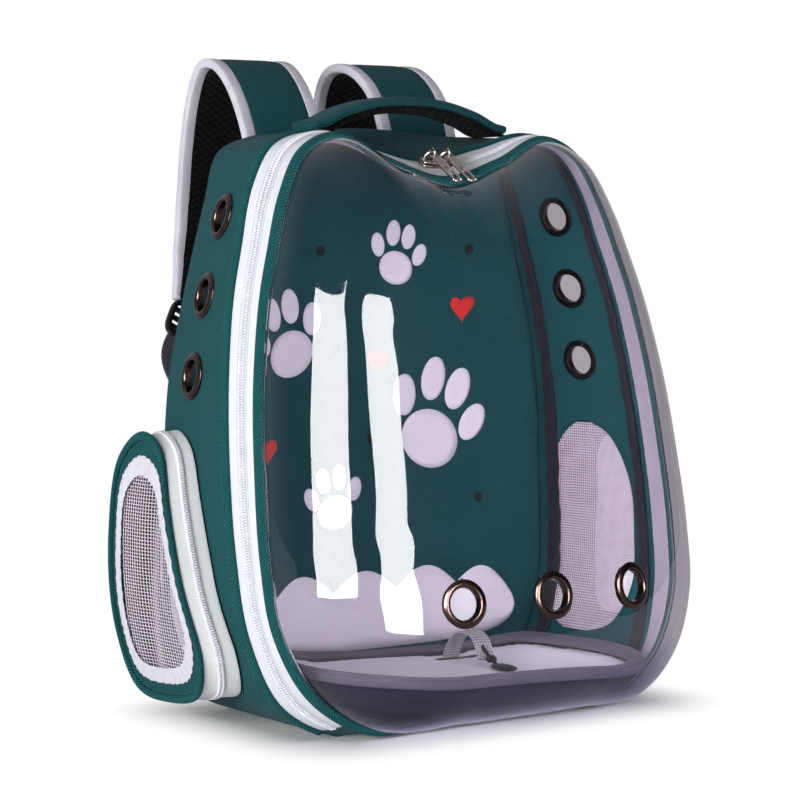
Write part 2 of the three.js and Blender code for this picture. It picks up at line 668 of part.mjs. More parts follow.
const hemUnder = bindingPlan(-MAT_EDGE - MAT_BINDING.proud);
const matHem = shell(hemTop, hemUnder, { steps: [MAT_STEPS, 1], loop: true });
add(carrier, "mat_binding", matHem, GREY);

// Tether: a short webbing loop out of the mat and its flat snap clip
const tetherRows = TETHER.map(({ x, y, lift }) => v3(x, y, matZ(x, y) + lift));
const tetherForm = { steps: [TETHER_STEPS, 1], low: -TETHER_HALF, high: TETHER_HALF };
const tether = ribbon(tetherRows, TETHER.map(() => TETHER_WIDTH));
add(carrier, "tether_strap", slab(tether, tetherForm), SILVER);
const clip = new THREE.Shape().absellipse(0, 0, CLIP.width / 2, CLIP.length / 2, 0, 2 * Math.PI);
clip.holes.push(rectangle(0, CLIP.length / 4, CLIP.width / 2.5, CLIP.length / 5));
const clipForm = { depth: CLIP.thick, bevelEnabled: false, curveSegments: CLIP.sides };
const clipBody = new THREE.ExtrudeGeometry(clip, clipForm);
clipBody.translate(CLIP.x, CLIP.y, matZ(CLIP.x, CLIP.y) + CLIP.lift - CLIP.thick);
add(carrier, "tether_clip", clipBody, PLASTIC);

// Carry handle: a padded strip arched over the top wall, with a mesh lining under it
const handleRows = HANDLE.map(({ x, z }) => v3(x, HANDLE_Y, z));
const handleCurve = new THREE.CatmullRomCurve3(handleRows, false, "centripetal");
const handle = (s, v) => {
  const t = Math.min(Math.max(s, 0), 1);
  const p = handleCurve.getPoint(t).addScaledVector(handleCurve.getTangent(t), (s - t) * OVERRUN);
  return p.setY(HANDLE_Y - (v - 0.5) * HANDLE_WIDTH);
};
const handleSteps = [HANDLE_STEPS, 2];
add(carrier, "handle_pad", slab(handle, { steps: handleSteps, ...HANDLE_PAD }), GREEN);
const { from: liningFrom, to: liningTo, ...liningDepth } = HANDLE_LINING;
const lining = { from: [0, liningFrom], to: [1, liningTo], steps: handleSteps, ...liningDepth };
add(carrier, "handle_lining", slab(handle, lining), BLACK);

// Zip sliders on the coil near the dip, each with a bail, and their pulls lying over the frame
const disc = (radius) => new THREE.Shape().absarc(0, 0, radius, 0, 2 * Math.PI);
function sliderBody() {
  const { length, width, thick } = SLIDER;
  const base = new THREE.BoxGeometry(length, width, thick);
  const arch = new THREE.CubicBezierCurve3(
    v3(-BAIL.half, 0, BAIL.foot),
    v3(-BAIL.half, 0, BAIL.rise * BAIL.arch),
    v3(BAIL.half, 0, BAIL.rise * BAIL.arch),
    v3(BAIL.half, 0, BAIL.foot),
  );
  const wireForm = { extrudePath: arch, steps: BAIL.steps, curveSegments: BAIL.sides };
  const wire = new THREE.ExtrudeGeometry(disc(BAIL.radius), wireForm);
  return join([base, wire]);
}
function pullBody() {
  const { length, bar, loop, rim, thick, ring, wire } = PULL;
  const neck = ring + wire / 2;
  const tip = length - 2 * loop;
  const shaft = rectangle(0, -(neck + tip) / 2 - 0.5, bar, tip - neck + 1);
  const eye = rectangle(0, -(tip + length) / 2, loop, length - tip);
  eye.holes.push(rectangle(0, -(tip + length) / 2, loop - 2 * rim, length - tip - 2 * rim));
  const plates = [shaft, eye].map((shape) =>
    new THREE.ExtrudeGeometry(shape, { depth: thick, bevelEnabled: false }).translate(0, 0, -thick / 2),
  );
  const link = new THREE.TorusGeometry(ring, wire, 6, 14).rotateY(Math.PI / 2);
  return join([...plates, link]);
}
const coilMiddle = (COIL.from + COIL.to) / 2;
for (const { side, x } of SLIDERS) {
  const s = root((t) => zipStrip(t, coilMiddle).x - x, -0.02, 0.02);
  const up = normal(zipStrip, s, coilMiddle);
  const along = v3(1, 0, 0).addScaledVector(up, -up.x).normalize();
  const slider = add(carrier, "zip_slider_" + side, sliderBody(), NICKEL);
  slider.position.copy(zipStrip(s, coilMiddle)).addScaledVector(up, SLIDER.sit);
  slider.setRotationFromMatrix(new THREE.Matrix4().makeBasis(along, up.clone().cross(along), up));
  const pull = add(carrier, "zip_pull_" + side, pullBody(), NICKEL);
  pull.position.copy(slider.position).addScaledVector(up, BAIL.rise);
  pull.rotation.x = PULL.slope;
}

export default carrier;
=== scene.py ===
"""Pet carrier backpack: cloth body, zipped clear dome, pockets, straps, handle and mat over the frame.

Everything is in metres in the frame's own axes: X to the viewer's right, -Y out of the clear front, Z up.
"""
from math import pi, radians

import bmesh
import bpy
import numpy as np
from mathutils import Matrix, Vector


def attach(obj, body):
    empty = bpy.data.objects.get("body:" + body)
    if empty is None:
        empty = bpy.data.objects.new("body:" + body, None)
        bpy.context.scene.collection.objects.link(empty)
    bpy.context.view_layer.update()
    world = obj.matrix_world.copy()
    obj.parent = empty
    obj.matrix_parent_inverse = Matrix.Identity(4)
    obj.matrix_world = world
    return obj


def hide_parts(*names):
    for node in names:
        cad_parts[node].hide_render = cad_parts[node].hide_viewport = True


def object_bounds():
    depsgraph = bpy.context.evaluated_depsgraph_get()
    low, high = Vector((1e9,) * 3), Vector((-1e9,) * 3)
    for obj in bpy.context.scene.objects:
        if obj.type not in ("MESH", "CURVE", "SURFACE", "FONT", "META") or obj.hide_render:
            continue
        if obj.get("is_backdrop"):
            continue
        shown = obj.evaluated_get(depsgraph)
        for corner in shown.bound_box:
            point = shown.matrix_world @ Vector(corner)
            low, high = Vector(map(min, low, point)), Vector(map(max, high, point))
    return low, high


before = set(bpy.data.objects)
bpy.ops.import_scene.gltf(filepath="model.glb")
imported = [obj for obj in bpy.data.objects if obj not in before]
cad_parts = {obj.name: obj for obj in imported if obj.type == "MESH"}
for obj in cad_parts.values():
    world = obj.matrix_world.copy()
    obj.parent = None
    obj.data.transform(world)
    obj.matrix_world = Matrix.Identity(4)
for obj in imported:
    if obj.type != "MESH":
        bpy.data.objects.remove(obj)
CAD_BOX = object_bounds()
MM = 0.001
TINY = 1e-12
WELD = 1e-6
CARRIER = "carrier"

# Shiny pieces, which alone take light from the softboxes
MIRRORS = bpy.data.collections.new("mirrors")

# Body: planes and walls
BACK_Y = 79 * MM
SEAM_FOOT_Y = -55 * MM
FRAME_FOOT_Y = -86 * MM
LEAN = 0.153
WALL = 2.4 * MM
HALF_WIDTH = 190 * MM
SIDE_BULGE = 7 * MM
BACK_THICK = 6 * MM
MIDDLE_Z = 190 * MM
BODY_STEPS = 560
BODY_ROWS = 53

# Half outlines from the top middle to the bottom middle: x and z of rear edge, zip seam and clear frame
STATIONS = MM * np.array([
    (0, 420, 0, 396, 0, 378),
    (54, 417, 50, 405, 48, 391),
    (100, 412, 96, 414, 92, 410),
    (126, 400, 130, 405, 121, 398),
    (137, 366, 151, 376, 140, 367),
    (147, 330, 164, 335, 153, 331),
    (156, 295, 175, 296, 163, 298),
    (167, 245, 184, 242, 174, 240),
    (172, 190, 189, 185, 179, 185),
    (174, 130, 190, 125, 181, 125),
    (172, 72, 185, 72, 176, 78),
    (155, 22, 164, 24, 153, 36),
    (116, 0, 118, 0, 110, 8),
    (58, 0, 58, 0, 55, 6.6),
    (0, 0, 0, 0, 0, 6.6),
])
AROUND = 2 * (len(STATIONS) - 1)
EAR_CORNER = 3 / AROUND
FOOT_CORNER = 12 / AROUND
ZIP_END = FOOT_CORNER - 0.3 / AROUND

# Zip strip between seam and frame, with the share of its way at which the coil runs
STRIP_BOW = 1.5 * MM
STRIP_FADE_Z = 30 * MM
ZIP_MIDDLE = 0.475

# Clear dome: shape, wall, tint, and a darker blue-lilac painted shade that takes over between two heights at
# its foot, for the shadow under the mat and dark reflections there
DOME_DEPTH = 73.5 * MM
DOME_DEPTH_Z = 98 * MM
DOME_TAPER = 0.05
DOME_SIDE, DOME_TOP, DOME_BOTTOM, DOME_FRONT = 2.2, 2.4, 7, 2.2
DOME_EASE = 2.5
DOME_WALL = 1.8 * MM
CLEAR_TINT = (0.82, 0.765, 0.84, 1)
FOOT_SHADE_TINT = (0.36, 0.335, 0.53, 1)
FOOT_SHADE_LOW = 22 * MM
FOOT_SHADE_HIGH = 58 * MM

# Eyelets: hole, flange, places
HOLE = 11 * MM
FLANGE = 16.8 * MM
SIDE_VENTS = {"upper": (32 * MM, 355 * MM), "middle": (32 * MM, 300.5 * MM), "lower": (32 * MM, 245 * MM)}
DOME_VENTS = {"left": (-74.6 * MM, 97.5 * MM), "middle": (0.0, 97.5 * MM), "right": (74.6 * MM, 97.5 * MM)}

# Side pockets: outline y, z on the wall, its middle, and the share that is the wall's window
POCKETS = {
    "left": (MM * np.array([
        (50, 207), (21, 197), (3, 160), (-15, 108), (-30, 58), (-18, 32),
        (22, 22), (62, 27), (75, 65), (76, 140), (71, 190)]), MM * np.array((30, 105)), 0.8),
    "right": (MM * np.array([
        (42, 210), (8, 202), (-18, 161), (-25, 109), (-26, 63), (-11, 33),
        (25, 23), (56, 30), (69, 74), (69, 144), (64, 190)]), MM * np.array((24, 115)), 0.86),
}
POCKET_RIM = 0.97
POCKET_WINDOW = 0.74
POCKET_LIFT = 2.1 * MM
POCKET_FACE = 217 * MM
POCKET_DROP = 18 * MM
POCKET_CROWN_Z = 125 * MM
POCKET_SPAN = 110 * MM

# Shoulder strap centre line on the +X side and its width: x, y, z, width
STRAP = MM * np.array([
    (60, 89.1, 384, 68),
    (62, 96, 418, 70),
    (62.5, 113, 447, 70),
    (60.5, 134, 461, 70),
    (58, 153, 460, 70),
    (58, 164, 441, 70),
    (62, 167, 403, 70),
    (71, 161, 355, 68),
    (86, 152, 317, 56),
    (104, 143, 289, 33),
])
WEBBING = MM * np.array([(117, 112, 205), (131, 95, 130), (136, 85, 75), (136, 80.4, 36)])
WEBBING_WIDTH = 25 * MM
BUCKLE_LENGTH = 32 * MM
BUCKLE_WIDTH = 36 * MM
OVERRUN = 100 * MM

# Carry handle: x, z of its line
HANDLE_Y = 28 * MM
HANDLE_WIDTH = 32 * MM
HANDLE = MM * np.array([
    (-85, 417.3), (-76, 419.3), (-58, 427), (-30, 434), (0, 436),
    (30, 434), (58, 427), (76, 419.3), (85, 417.3)])

# Mat: half outline x, y, and how its edges ride up, as a height, a start and a reach
MAT = MM * np.array([
    (0, 68), (90, 68), (132, 52), (142, 0), (140, -66), (110, -112), (56, -130), (0, -134)])
MAT_RISE = MM * np.array([(17, 40, 94), (4, 30, 38), (16, 60, 82)])
MAT_TOP = 25 * MM
MAT_EDGE = 8 * MM
MAT_FILL = 12.4 * MM
MAT_FLOOR = 5 * MM
MAT_MIDDLE_Y = -30 * MM
MAT_ROLL = 0.045
TETHER = MM * np.array([
    (55, 40, 1.2), (55, 34, 14), (55.5, 23, 24), (56, 8, 23), (55, -1, 13), (53, -5, 6)])
TETHER_WIDTH = 15 * MM
TETHER_CORD = MM * np.array([(53, -1, 16), (53, -6, 12), (52.5, -12, 8), (52, -18, 5)])
TAB_X = 52 * MM
TAB_Y = -24 * MM
SLOT_Y = 38 * MM

# Zip pulls: where the sliders stand, the ring's radius and how far a pull leans, in radians
SLIDER_X = {"left": -7 * MM, "right": 8.5 * MM}
PULL_RING = 3.1 * MM
PULL_LEAN = 0.58

# Print on the inside of the back, in millimetres: paws x, z, size, lean; hearts x, z, size; dots x, z
PRINT_Y = BACK_Y - BACK_THICK - 0.35 * MM
PRINT_THICK = 0.3 * MM
PAWS = ((-70, 262, 40, 0.3), (64, 196, 52, -0.35), (-28, 142, 30, 0.15), (30, 322, 30, -0.2))
HEARTS = ((-96, 338, 13), (92, 286, 11), (-92, 186, 10), (12, 248, 9))
DOTS = ((-40, 330), (98, 330), (6, 190), (-118, 232), (108, 140))
DOT_SIZE = 4

# Floor: where the shadow stays, as a middle and half sizes, and how far it fades beyond
FOOTPRINT_MIDDLE = (0.0, 0.005, 0.0)
FOOTPRINT_HALF = (0.13, 0.075, 1.0)
SHADOW_REACH = 0.08
SHADOW_LIFT = 0.06
FLOOR_THROUGH = 0.5
FLOOR_HALF = 14.0

# Lamps: name, place, size and power in watts
LAMPS = (
    ("key", (-2.35, -0.95, 0.42), 1.2, 78),
    ("fill", (1.6, -1.9, 1.3), 1.4, 6),
    ("top", (0.1, 0.3, 2.4), 1.6, 1.5),
)
LAMP_AIM = Vector((0, 0, 0.2))

# Softboxes: left and right edges as bearings and heights in degrees, seen from a point in the dome
CARD_EYE = np.array((-0.14, -0.1, 0.2))
CARD_AWAY = 2.0
CARD_GLOW = 27.0
CARDS = {
    "softbox_left": (
        [(-40, 38), (-41, 29), (-43.3, 22), (-46.8, 14.6), (-50.5, 8.6), (-56.3, -2)],
        [(-11.5, 34), (-11.1, 27.7), (-12.1, 22), (-14.6, 16.4), (-17, 11.5), (-20.6, 2.1)]),
    "softbox_right": (
        [(-1.1, 31), (-1, 24.7), (-1.2, 19.4), (-1.8, 15), (-4.6, 11.2), (-10.4, -5)],
        [(11.1, 28.7), (12.3, 24.6), (11.5, 19.3), (10.8, 14.8), (8.6, 11.2), (4, -3.3)]),
}

# World: light that falls on the part, light seen through the clear sheet, and ramps for mirrors by axis
WORLD_LIGHT = (0.235, 0.23, 0.24, 1)
WORLD_THROUGH = (0.53, 0.495, 0.54, 1)
WORLD_MIRROR = (("Y", (-0.2, 0.6, 0.05, 0.44)), ("Z", (0.7, 1.0, 0.0, 0.4)))


# Curves and surfaces

def smooth_line(points, t, closed=False):
    """Smooth curve through points: cubic pieces, their slopes from the square-root spacing of the points."""
    points = np.asarray(points, float)
    count = len(points)
    t = np.asarray(t, float)
    spans = count if closed else count - 1
    place = (t % 1.0 if closed else np.clip(t, 0, 1)) * spans
    k = np.minimum(place.astype(int), spans - 1)
    w = (place - k)[..., None]
    ends = np.vstack([2 * points[0] - points[1], points, 2 * points[-1] - points[-2]])
    near = [points[(k + j) % count] if closed else ends[k + 1 + j] for j in (-1, 0, 1, 2)]
    spacing = [np.linalg.norm(b - a, axis=-1, keepdims=True) for a, b in zip(near, near[1:])]
    e, f, g = [np.maximum(gap, TINY) ** 0.5 for gap in spacing]
    a, b, c, d = near
    m = ((b - a) / e - (c - a) / (e + f) + (c - b) / f) * f
    n = ((c - b) / f - (d - b) / (f + g) + (d - c) / g) * f
    return b + w * (m + w * (3 * (c - b) - 2 * m - n + w * (2 * (b - c) + m + n)))


def unit(vectors):
    """Vectors scaled to length one."""
    return vectors / np.maximum(np.linalg.norm(vectors, axis=-1, keepdims=True), TINY)


def mix(a, b, share):
    """Straight mix from a to b."""
    return a + (b - a) * np.asarray(share)[..., None]


def heading(rows, t, step=1e-4):
    """Direction of the smooth curve through rows, from a small step ahead less a small step behind."""
    return unit(smooth_line(rows, np.minimum(t + step, 1)) - smooth_line(rows, np.maximum(t - step, 0)))


def ring_line(column, foot, lean):
    """Closed outline through the stations and their mirror image, leaning back with height."""
    half = STATIONS[:, column:column + 2]
    loop = np.vstack([half, half[-2:0:-1] * (-1, 1)])

    def line(s):
        """Point of the outline at a turn s, which runs from 0 to 1."""
        flat = smooth_line(loop, s, closed=True)
        z = np.maximum(flat[..., 1], 0)
        return np.stack([flat[..., 0], foot + lean * z, z], -1)
    return line


rear_line = ring_line(0, BACK_Y, 0)
seam_line = ring_line(2, SEAM_FOOT_Y, LEAN)
frame_line = ring_line(4, FRAME_FOOT_Y, LEAN)


def gusset(s, v):
    """Cloth body: straight from the rear edge (v 0) to the zip seam (v 1), its sides swollen half way."""
    s, v = np.broadcast_arrays(s, v)
    p = mix(rear_line(s), seam_line(s), v)
    x = p[..., 0]
    p[..., 0] = x + np.sign(x) * SIDE_BULGE * 2 * v * (1 - v) * (x / HALF_WIDTH) ** 4
    return p


def zip_strip(s, v):
    """Strip from the zip seam (v 0) to the clear frame (v 1), bowed outwards as a parabola."""
    s, v = np.broadcast_arrays(s, v)
    p = mix(seam_line(s), frame_line(s), v)
    out = unit(p * (1, 0, 1) - (0, 0, MIDDLE_Z))
    bow = STRIP_BOW * 4 * v * (1 - v) * np.minimum(1, p[..., 2] / STRIP_FADE_Z)
    return p + out * bow[..., None]


def dome(s, v):
    """Clear dome: the frame line shrinks to its middle, the depth growing as a superellipse of the shrink."""
    s, v = np.broadcast_arrays(s, v)
    reach = frame_line(s) * (1, 0, 1) - (0, 0, MIDDLE_Z)
    high = reach[..., 2] > 0
    share = (reach[..., 2] ** 2 / np.sum(reach ** 2, -1)) ** np.where(high, 1, DOME_EASE)
    upright = np.where(high, DOME_TOP, DOME_BOTTOM)
    power = DOME_SIDE * (1 - share) + upright * share
    shrink = np.cos(pi / 2 * np.clip(v, 0, 1))
    z = MIDDLE_Z + reach[..., 2] * shrink
    deepest = DOME_DEPTH - DOME_TAPER * (z - DOME_DEPTH_Z)
    depth = deepest * (1 - shrink ** power) ** (1 / DOME_FRONT)
    return np.stack([reach[..., 0] * shrink, FRAME_FOOT_Y + LEAN * z - depth, z], -1)


def normal(surface, s, v, step=0.002):
    """Outward direction of a surface: across its v lines times along its s lines."""
    along = surface(s + step, v) - surface(s - step, v)
    across = surface(s, v + step) - surface(s, v - step)
    return unit(np.cross(across, along))


def bisect(f, low, high, rounds=36):
    """Where f changes sign between low and high, by halving, for whole arrays at once."""
    low, high = np.broadcast_arrays(np.asarray(low, float), np.asarray(high, float))
    sign = np.sign(f(low))
    for _ in range(rounds):
        middle = (low + high) / 2
        same = np.sign(f(middle)) == sign
        low, high = np.where(same, middle, low), np.where(same, high, middle)
    return (low + high) / 2


def on_wall(y, z):
    """Side wall's s and v at a depth y and a height z, on the +X side."""
    y, z = np.broadcast_arrays(np.asarray(y, float), np.asarray(z, float))
    share = lambda s: (BACK_Y - y) / (BACK_Y - seam_line(s)[..., 1])
    ends = np.full(y.shape, EAR_CORNER), np.full(y.shape, FOOT_CORNER)
    s = bisect(lambda t: gusset(t, share(t))[..., 2] - z, *ends)
    return s, share(s)


def wall_x(y, z):
    """Side wall's x at a depth and a height."""
    return gusset(*on_wall(y, z))[..., 0]


def on_dome(x, z):
    """Dome's s and v in front of a point of the frame plane."""
    aim = np.arctan2(abs(x), z - MIDDLE_Z)
    angle = lambda p: np.arctan2(p[..., 0], p[..., 2] - MIDDLE_Z)
    s = bisect(lambda t: angle(frame_line(t)) - aim, 0.0, 0.5)
    far = lambda v: np.linalg.norm(dome(s, v) * (1, 0, 1) - (0, 0, MIDDLE_Z), axis=-1)
    v = bisect(lambda t: far(t) - np.hypot(x, z - MIDDLE_Z), 0.0, 1.0)
    return (1 - s if x < 0 else s), v


# Patches of quads and the pieces made of them

def grid(points, loop=(False, False), flip=False):
    """Quads over points[s, v]; a looping axis closes on itself. UV is the mean length along each axis."""
    rows, columns = points.shape[:2]
    spans = [count if closed else count - 1 for count, closed in zip((rows, columns), loop)]
    i, j = np.meshgrid(np.arange(spans[0]), np.arange(spans[1]), indexing="ij")
    corners = np.array([(0, 0), (0, 1), (1, 1), (1, 0)][::-1 if flip else 1])
    ci = i.reshape(-1, 1) + corners[:, 0]
    cj = j.reshape(-1, 1) + corners[:, 1]
    faces = (ci % rows) * columns + cj % columns
    steps = [np.linalg.norm(np.roll(points, -1, axis) - points, axis=-1) for axis in (0, 1)]
    u, v = (np.concatenate([[0], np.cumsum(step.mean(1 - axis))]) for axis, step in enumerate(steps))
    return points.reshape(-1, 3), faces, np.stack([u[ci], v[cj]], -1)


def join(patches):
    """Several patches as one."""
    starts = np.cumsum([0] + [len(p[0]) for p in patches[:-1]])
    verts = np.vstack([p[0] for p in patches])
    faces = np.vstack([p[1] + k for p, k in zip(patches, starts)])
    return verts, faces, np.vstack([p[2] for p in patches])


def mirrored(patch):
    """The patch on the other side of X = 0, still facing outwards."""
    verts, faces, uv = patch
    return verts * (-1, 1, 1), faces[:, ::-1], uv[:, ::-1]


def sided(patch, side):
    """A patch made on the +X side, put on the named side."""
    return patch if side == "right" else mirrored(patch)


def capped(points):
    """A tube's rings with both ends drawn in to a point, so that it closes."""
    first = np.broadcast_to(points[0].mean(0), points[0].shape)
    last = np.broadcast_to(points[-1].mean(0), points[-1].shape)
    return np.concatenate([first[None], points, last[None]])


def bar(points):
    """A swept bar's rings, with both ends closed."""
    return grid(capped(points), (False, True))


def hoop(points):
    """A swept bar's rings, joined end to end."""
    return grid(points, (True, True))


def section(sides, power):
    """Superellipse round a unit circle, turning so that a swept bar faces outwards."""
    turn = -np.linspace(0, 2 * pi, sides, endpoint=False)
    ring = np.stack([np.cos(turn), np.sin(turn)], -1)
    return np.sign(ring) * np.abs(ring) ** (2 / power)


def roll(surface, s, v0, v1, low, high, sides=16, power=3.0):
    """Bar along a surface: a superellipse between the shares v0 and v1 and the heights low and high."""
    ring = section(sides, power)
    v = (v0 + v1) / 2 + (v1 - v0) / 2 * ring[:, 0]
    h = (low + high) / 2 + (high - low) / 2 * ring[:, 1]
    s, v = np.meshgrid(s, v, indexing="ij")
    return surface(s, v) + normal(surface, s, v) * h[:, None]


def tube(path, wide, high, up, sides=10, power=2.0, loop=False):
    """Bar along a path: a superellipse of half sizes wide and high, its height along up."""
    path = np.asarray(path, float)
    if loop:
        along = np.roll(path, -1, 0) - np.roll(path, 1, 0)
    else:
        along = np.gradient(path, axis=0)
    along = unit(along)
    side = unit(np.cross(np.broadcast_to(np.asarray(up, float), path.shape), along))
    lift = np.cross(along, side)
    ring = section(sides, power) * (1, -1)
    points = path[:, None] + side[:, None] * (ring[:, :1] * wide) + lift[:, None] * (ring[:, 1:] * high)
    return hoop(points) if loop else bar(points)


def bead(rings=4, sides=6):
    """Small closed ellipsoid of radius one, for repeated bumps."""
    turn = np.linspace(0, pi, rings + 1)
    around = np.linspace(0, 2 * pi, sides, endpoint=False)
    t, a = np.meshgrid(turn, around, indexing="ij")
    return np.stack([np.sin(t) * np.cos(a), -np.cos(t), np.sin(t) * np.sin(a)], -1)


def beads(places, across, along, up, size):
    """An ellipsoid bump at each place, with its half sizes across, along and up."""
    shape = bead()
    verts, faces, uv = grid(shape, (False, True), flip=True)
    axes = np.stack([across * size[0], along * size[1], up * size[2]], 1)
    points = places[:, None] + np.einsum("vk,pkx->pvx", verts, axes)
    count = len(verts)
    allfaces = (faces[None] + count * np.arange(len(places))[:, None, None]).reshape(-1, 4)
    return points.reshape(-1, 3), allfaces, np.tile(uv * size[0], (len(places), 1, 1))


def piece(name, patch, finish, nodes=(), body=CARRIER):
    """A mesh object from a patch, riding on a body and standing for CAD nodes."""
    verts, faces, uv = patch
    mesh = bpy.data.meshes.new(name)
    mesh.vertices.add(len(verts))
    mesh.vertices.foreach_set("co", np.ascontiguousarray(verts, np.float32).ravel())
    mesh.loops.add(faces.size)
    mesh.loops.foreach_set("vertex_index", np.ascontiguousarray(faces, np.int32).ravel())
    mesh.polygons.add(len(faces))
    mesh.polygons.foreach_set("loop_start", np.arange(0, faces.size, 4, dtype=np.int32))
    mesh.uv_layers.new(name="UVMap").data.foreach_set("uv", np.ascontiguousarray(uv, np.float32).ravel())
    mesh.update(calc_edges=True)
    work = bmesh.new()
    work.from_mesh(mesh)
    bmesh.ops.remove_doubles(work, verts=work.verts, dist=WELD)
    work.to_mesh(mesh)
    work.free()
    mesh.polygons.foreach_set("use_smooth", np.ones(len(mesh.polygons), bool))
    obj = bpy.data.objects.new(name, mesh)
    bpy.context.scene.collection.objects.link(obj)
    mesh.materials.append(finish)
    if finish in (CLEAR, BRONZE, NICKEL):
        MIRRORS.objects.link(obj)
    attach(obj, body)
    if nodes:
        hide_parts(*nodes)
    return obj


def thicken(obj, thickness):
    """Gives a sheet its thickness, inwards from its outer face."""
    wall = obj.modifiers.new("wall", "SOLIDIFY")
    wall.thickness = thickness
    wall.offset = -1


# Finishes

def display(red, green, blue):
    """Linear colour of an 8-bit display colour."""
    c = np.array((red, green, blue)) / 255
    return (*np.where(c <= 0.04045, c / 12.92, ((c + 0.055) / 1.055) ** 2.4).tolist(), 1.0)


class Finish:
    """A node material under construction: a Principled shader and helpers that feed it."""

    def __init__(self, name, colour, rough, **sockets):
        self.material = bpy.data.materials.new(name)
        self.material.use_nodes = True
        self.nodes = self.material.node_tree.nodes
        self.links = self.material.node_tree.links
        self.shader = self.nodes["Principled BSDF"]
        self.colour = colour
        self.set("Base Color", colour)
        self.set("Roughness", rough)
        for socket, value in sockets.items():
            self.set(socket.replace("_", " "), value)

    def set(self, socket, value):
        """Sets one of the shader's own sockets."""
        self.shader.inputs[socket].default_value = value

    def node(self, kind, **values):
        """A new node, with values for its sockets or its settings."""
        made = self.nodes.new(kind)
        for key, value in values.items():
            if key in made.inputs:
                made.inputs[key].default_value = value
            else:
                setattr(made, key, value)
        return made

    def coordinates(self, source, turn=0.0):
        """Texture coordinates from a source, turned about Z."""
        place = self.node("ShaderNodeTexCoord")
        mapping = self.node("ShaderNodeMapping")
        mapping.inputs["Rotation"].default_value = (0, 0, turn)
        self.links.new(place.outputs[source], mapping.inputs["Vector"])
        return mapping.outputs["Vector"]

    def bands(self, pitch, turn=0.0, ripple=0.0):
        """Soft stripes of a pitch in metres, as a factor from 0 to 1."""
        wave = self.node("ShaderNodeTexWave", Scale=2 * pi / (20 * pitch), Distortion=ripple)
        self.links.new(self.coordinates("UV", turn), wave.inputs["Vector"])
        return wave.outputs["Fac"]

    def noise(self, size, detail=3.0):
        """Cloudy factor whose blots have a size in metres."""
        cloud = self.node("ShaderNodeTexNoise", Scale=1 / size, Detail=detail)
        self.links.new(self.coordinates("Object"), cloud.inputs["Vector"])
        return cloud.outputs["Fac"]

    def math(self, operation, a, b):
        """A sum, product or other pairing of two factors or numbers."""
        made = self.node("ShaderNodeMath", operation=operation)
        for socket, value in zip(made.inputs, (a, b)):
            if isinstance(value, (int, float)):
                socket.default_value = value
            else:
                self.links.new(value, socket)
        return made.outputs[0]

    def blend(self, factor, low, high):
        """Base colour runs from low to high with a factor."""
        ramp = self.node("ShaderNodeMix", data_type="RGBA")
        ramp.inputs[6].default_value, ramp.inputs[7].default_value = low, high
        self.links.new(factor, ramp.inputs[0])
        self.links.new(ramp.outputs[2], self.shader.inputs["Base Color"])

    def tint(self, factor, dark, light):
        """Base colour runs from the colour times dark to the colour times light with a factor."""
        ends = (tuple(min(1.0, c * k) for c in self.colour[:3]) + (1.0,) for k in (dark, light))
        self.blend(factor, *ends)

    def bump(self, height, depth):
        """Relief of a depth in metres, from a factor."""
        made = self.node("ShaderNodeBump", Strength=1.0, Distance=depth)
        self.links.new(height, made.inputs["Height"])
        self.links.new(made.outputs["Normal"], self.shader.inputs["Normal"])

    def rough_range(self, factor, low, high):
        """Roughness runs from low to high with a factor."""
        ramp = self.node("ShaderNodeMapRange")
        ramp.inputs["To Min"].default_value = low
        ramp.inputs["To Max"].default_value = high
        self.links.new(factor, ramp.inputs["Value"])
        self.links.new(ramp.outputs["Result"], self.shader.inputs["Roughness"])


CLOTH_ROUGH = 0.85


def twill(name, colour, pitch, depth, slope=0.9, contrast=0.45):
    """Woven cloth: diagonal ribs crossed by finer threads, with a faint cloudy shade."""
    sheen = {"Sheen_Weight": 0.04, "Sheen_Roughness": 0.4}
    made = Finish(name, colour, CLOTH_ROUGH, Specular_IOR_Level=0.12, **sheen)
    ribs = made.bands(pitch, slope, ripple=0.6)
    threads = made.bands(pitch * 0.62, slope + pi / 2)
    weave = made.math("ADD", made.math("MULTIPLY", ribs, 0.7), made.math("MULTIPLY", threads, 0.3))
    blots = made.math("MULTIPLY", made.noise(30 * MM), 0.1)
    specks = made.math("MULTIPLY", made.noise(1.2 * MM), 0.15)
    shade = made.math("ADD", made.math("MULTIPLY", weave, 0.75), made.math("ADD", blots, specks))
    made.tint(shade, 1 - contrast, 1 + contrast)
    made.bump(weave, depth)
    return made.material


def air_mesh(name, colour, pitch, depth):
    """Spacer mesh: rows of small oval holes, from two crossed bands."""
    made = Finish(name, colour, 0.7, Specular_IOR_Level=0.3, Sheen_Weight=0.03)
    holes = made.math("MULTIPLY", made.bands(pitch, 0.6), made.bands(pitch, -0.6))
    made.tint(holes, 0.3, 2.2)
    made.bump(holes, depth)
    return made.material


def plain_cloth(name, colour, grain, depth, contrast=0.12):
    """Fine plain-woven cloth: two crossed thread bands and soft blots."""
    made = Finish(name, colour, CLOTH_ROUGH, Sheen_Weight=0.05, Specular_IOR_Level=0.25)
    weave = made.math("MULTIPLY", made.bands(grain), made.bands(grain, pi / 2))
    blots = made.math("MULTIPLY", made.noise(20 * MM), 0.5)
    shade = made.math("ADD", made.math("MULTIPLY", weave, 0.5), blots)
    made.tint(shade, 1 - contrast, 1 + contrast)
    made.bump(weave, depth)
    return made.material


def felt(name, colour, grain, depth):
    """Matted cloth with no weave: two sizes of blots in its colour and its bump."""
    made = Finish(name, colour, 0.95, Sheen_Weight=0.15, Specular_IOR_Level=0.15)
    tufts = made.math("ADD", made.noise(grain, 4.0), made.math("MULTIPLY", made.noise(grain * 4), 0.5))
    made.tint(made.math("MULTIPLY", tufts, 0.66), 0.8, 1.15)
    made.bump(tufts, depth)
    return made.material


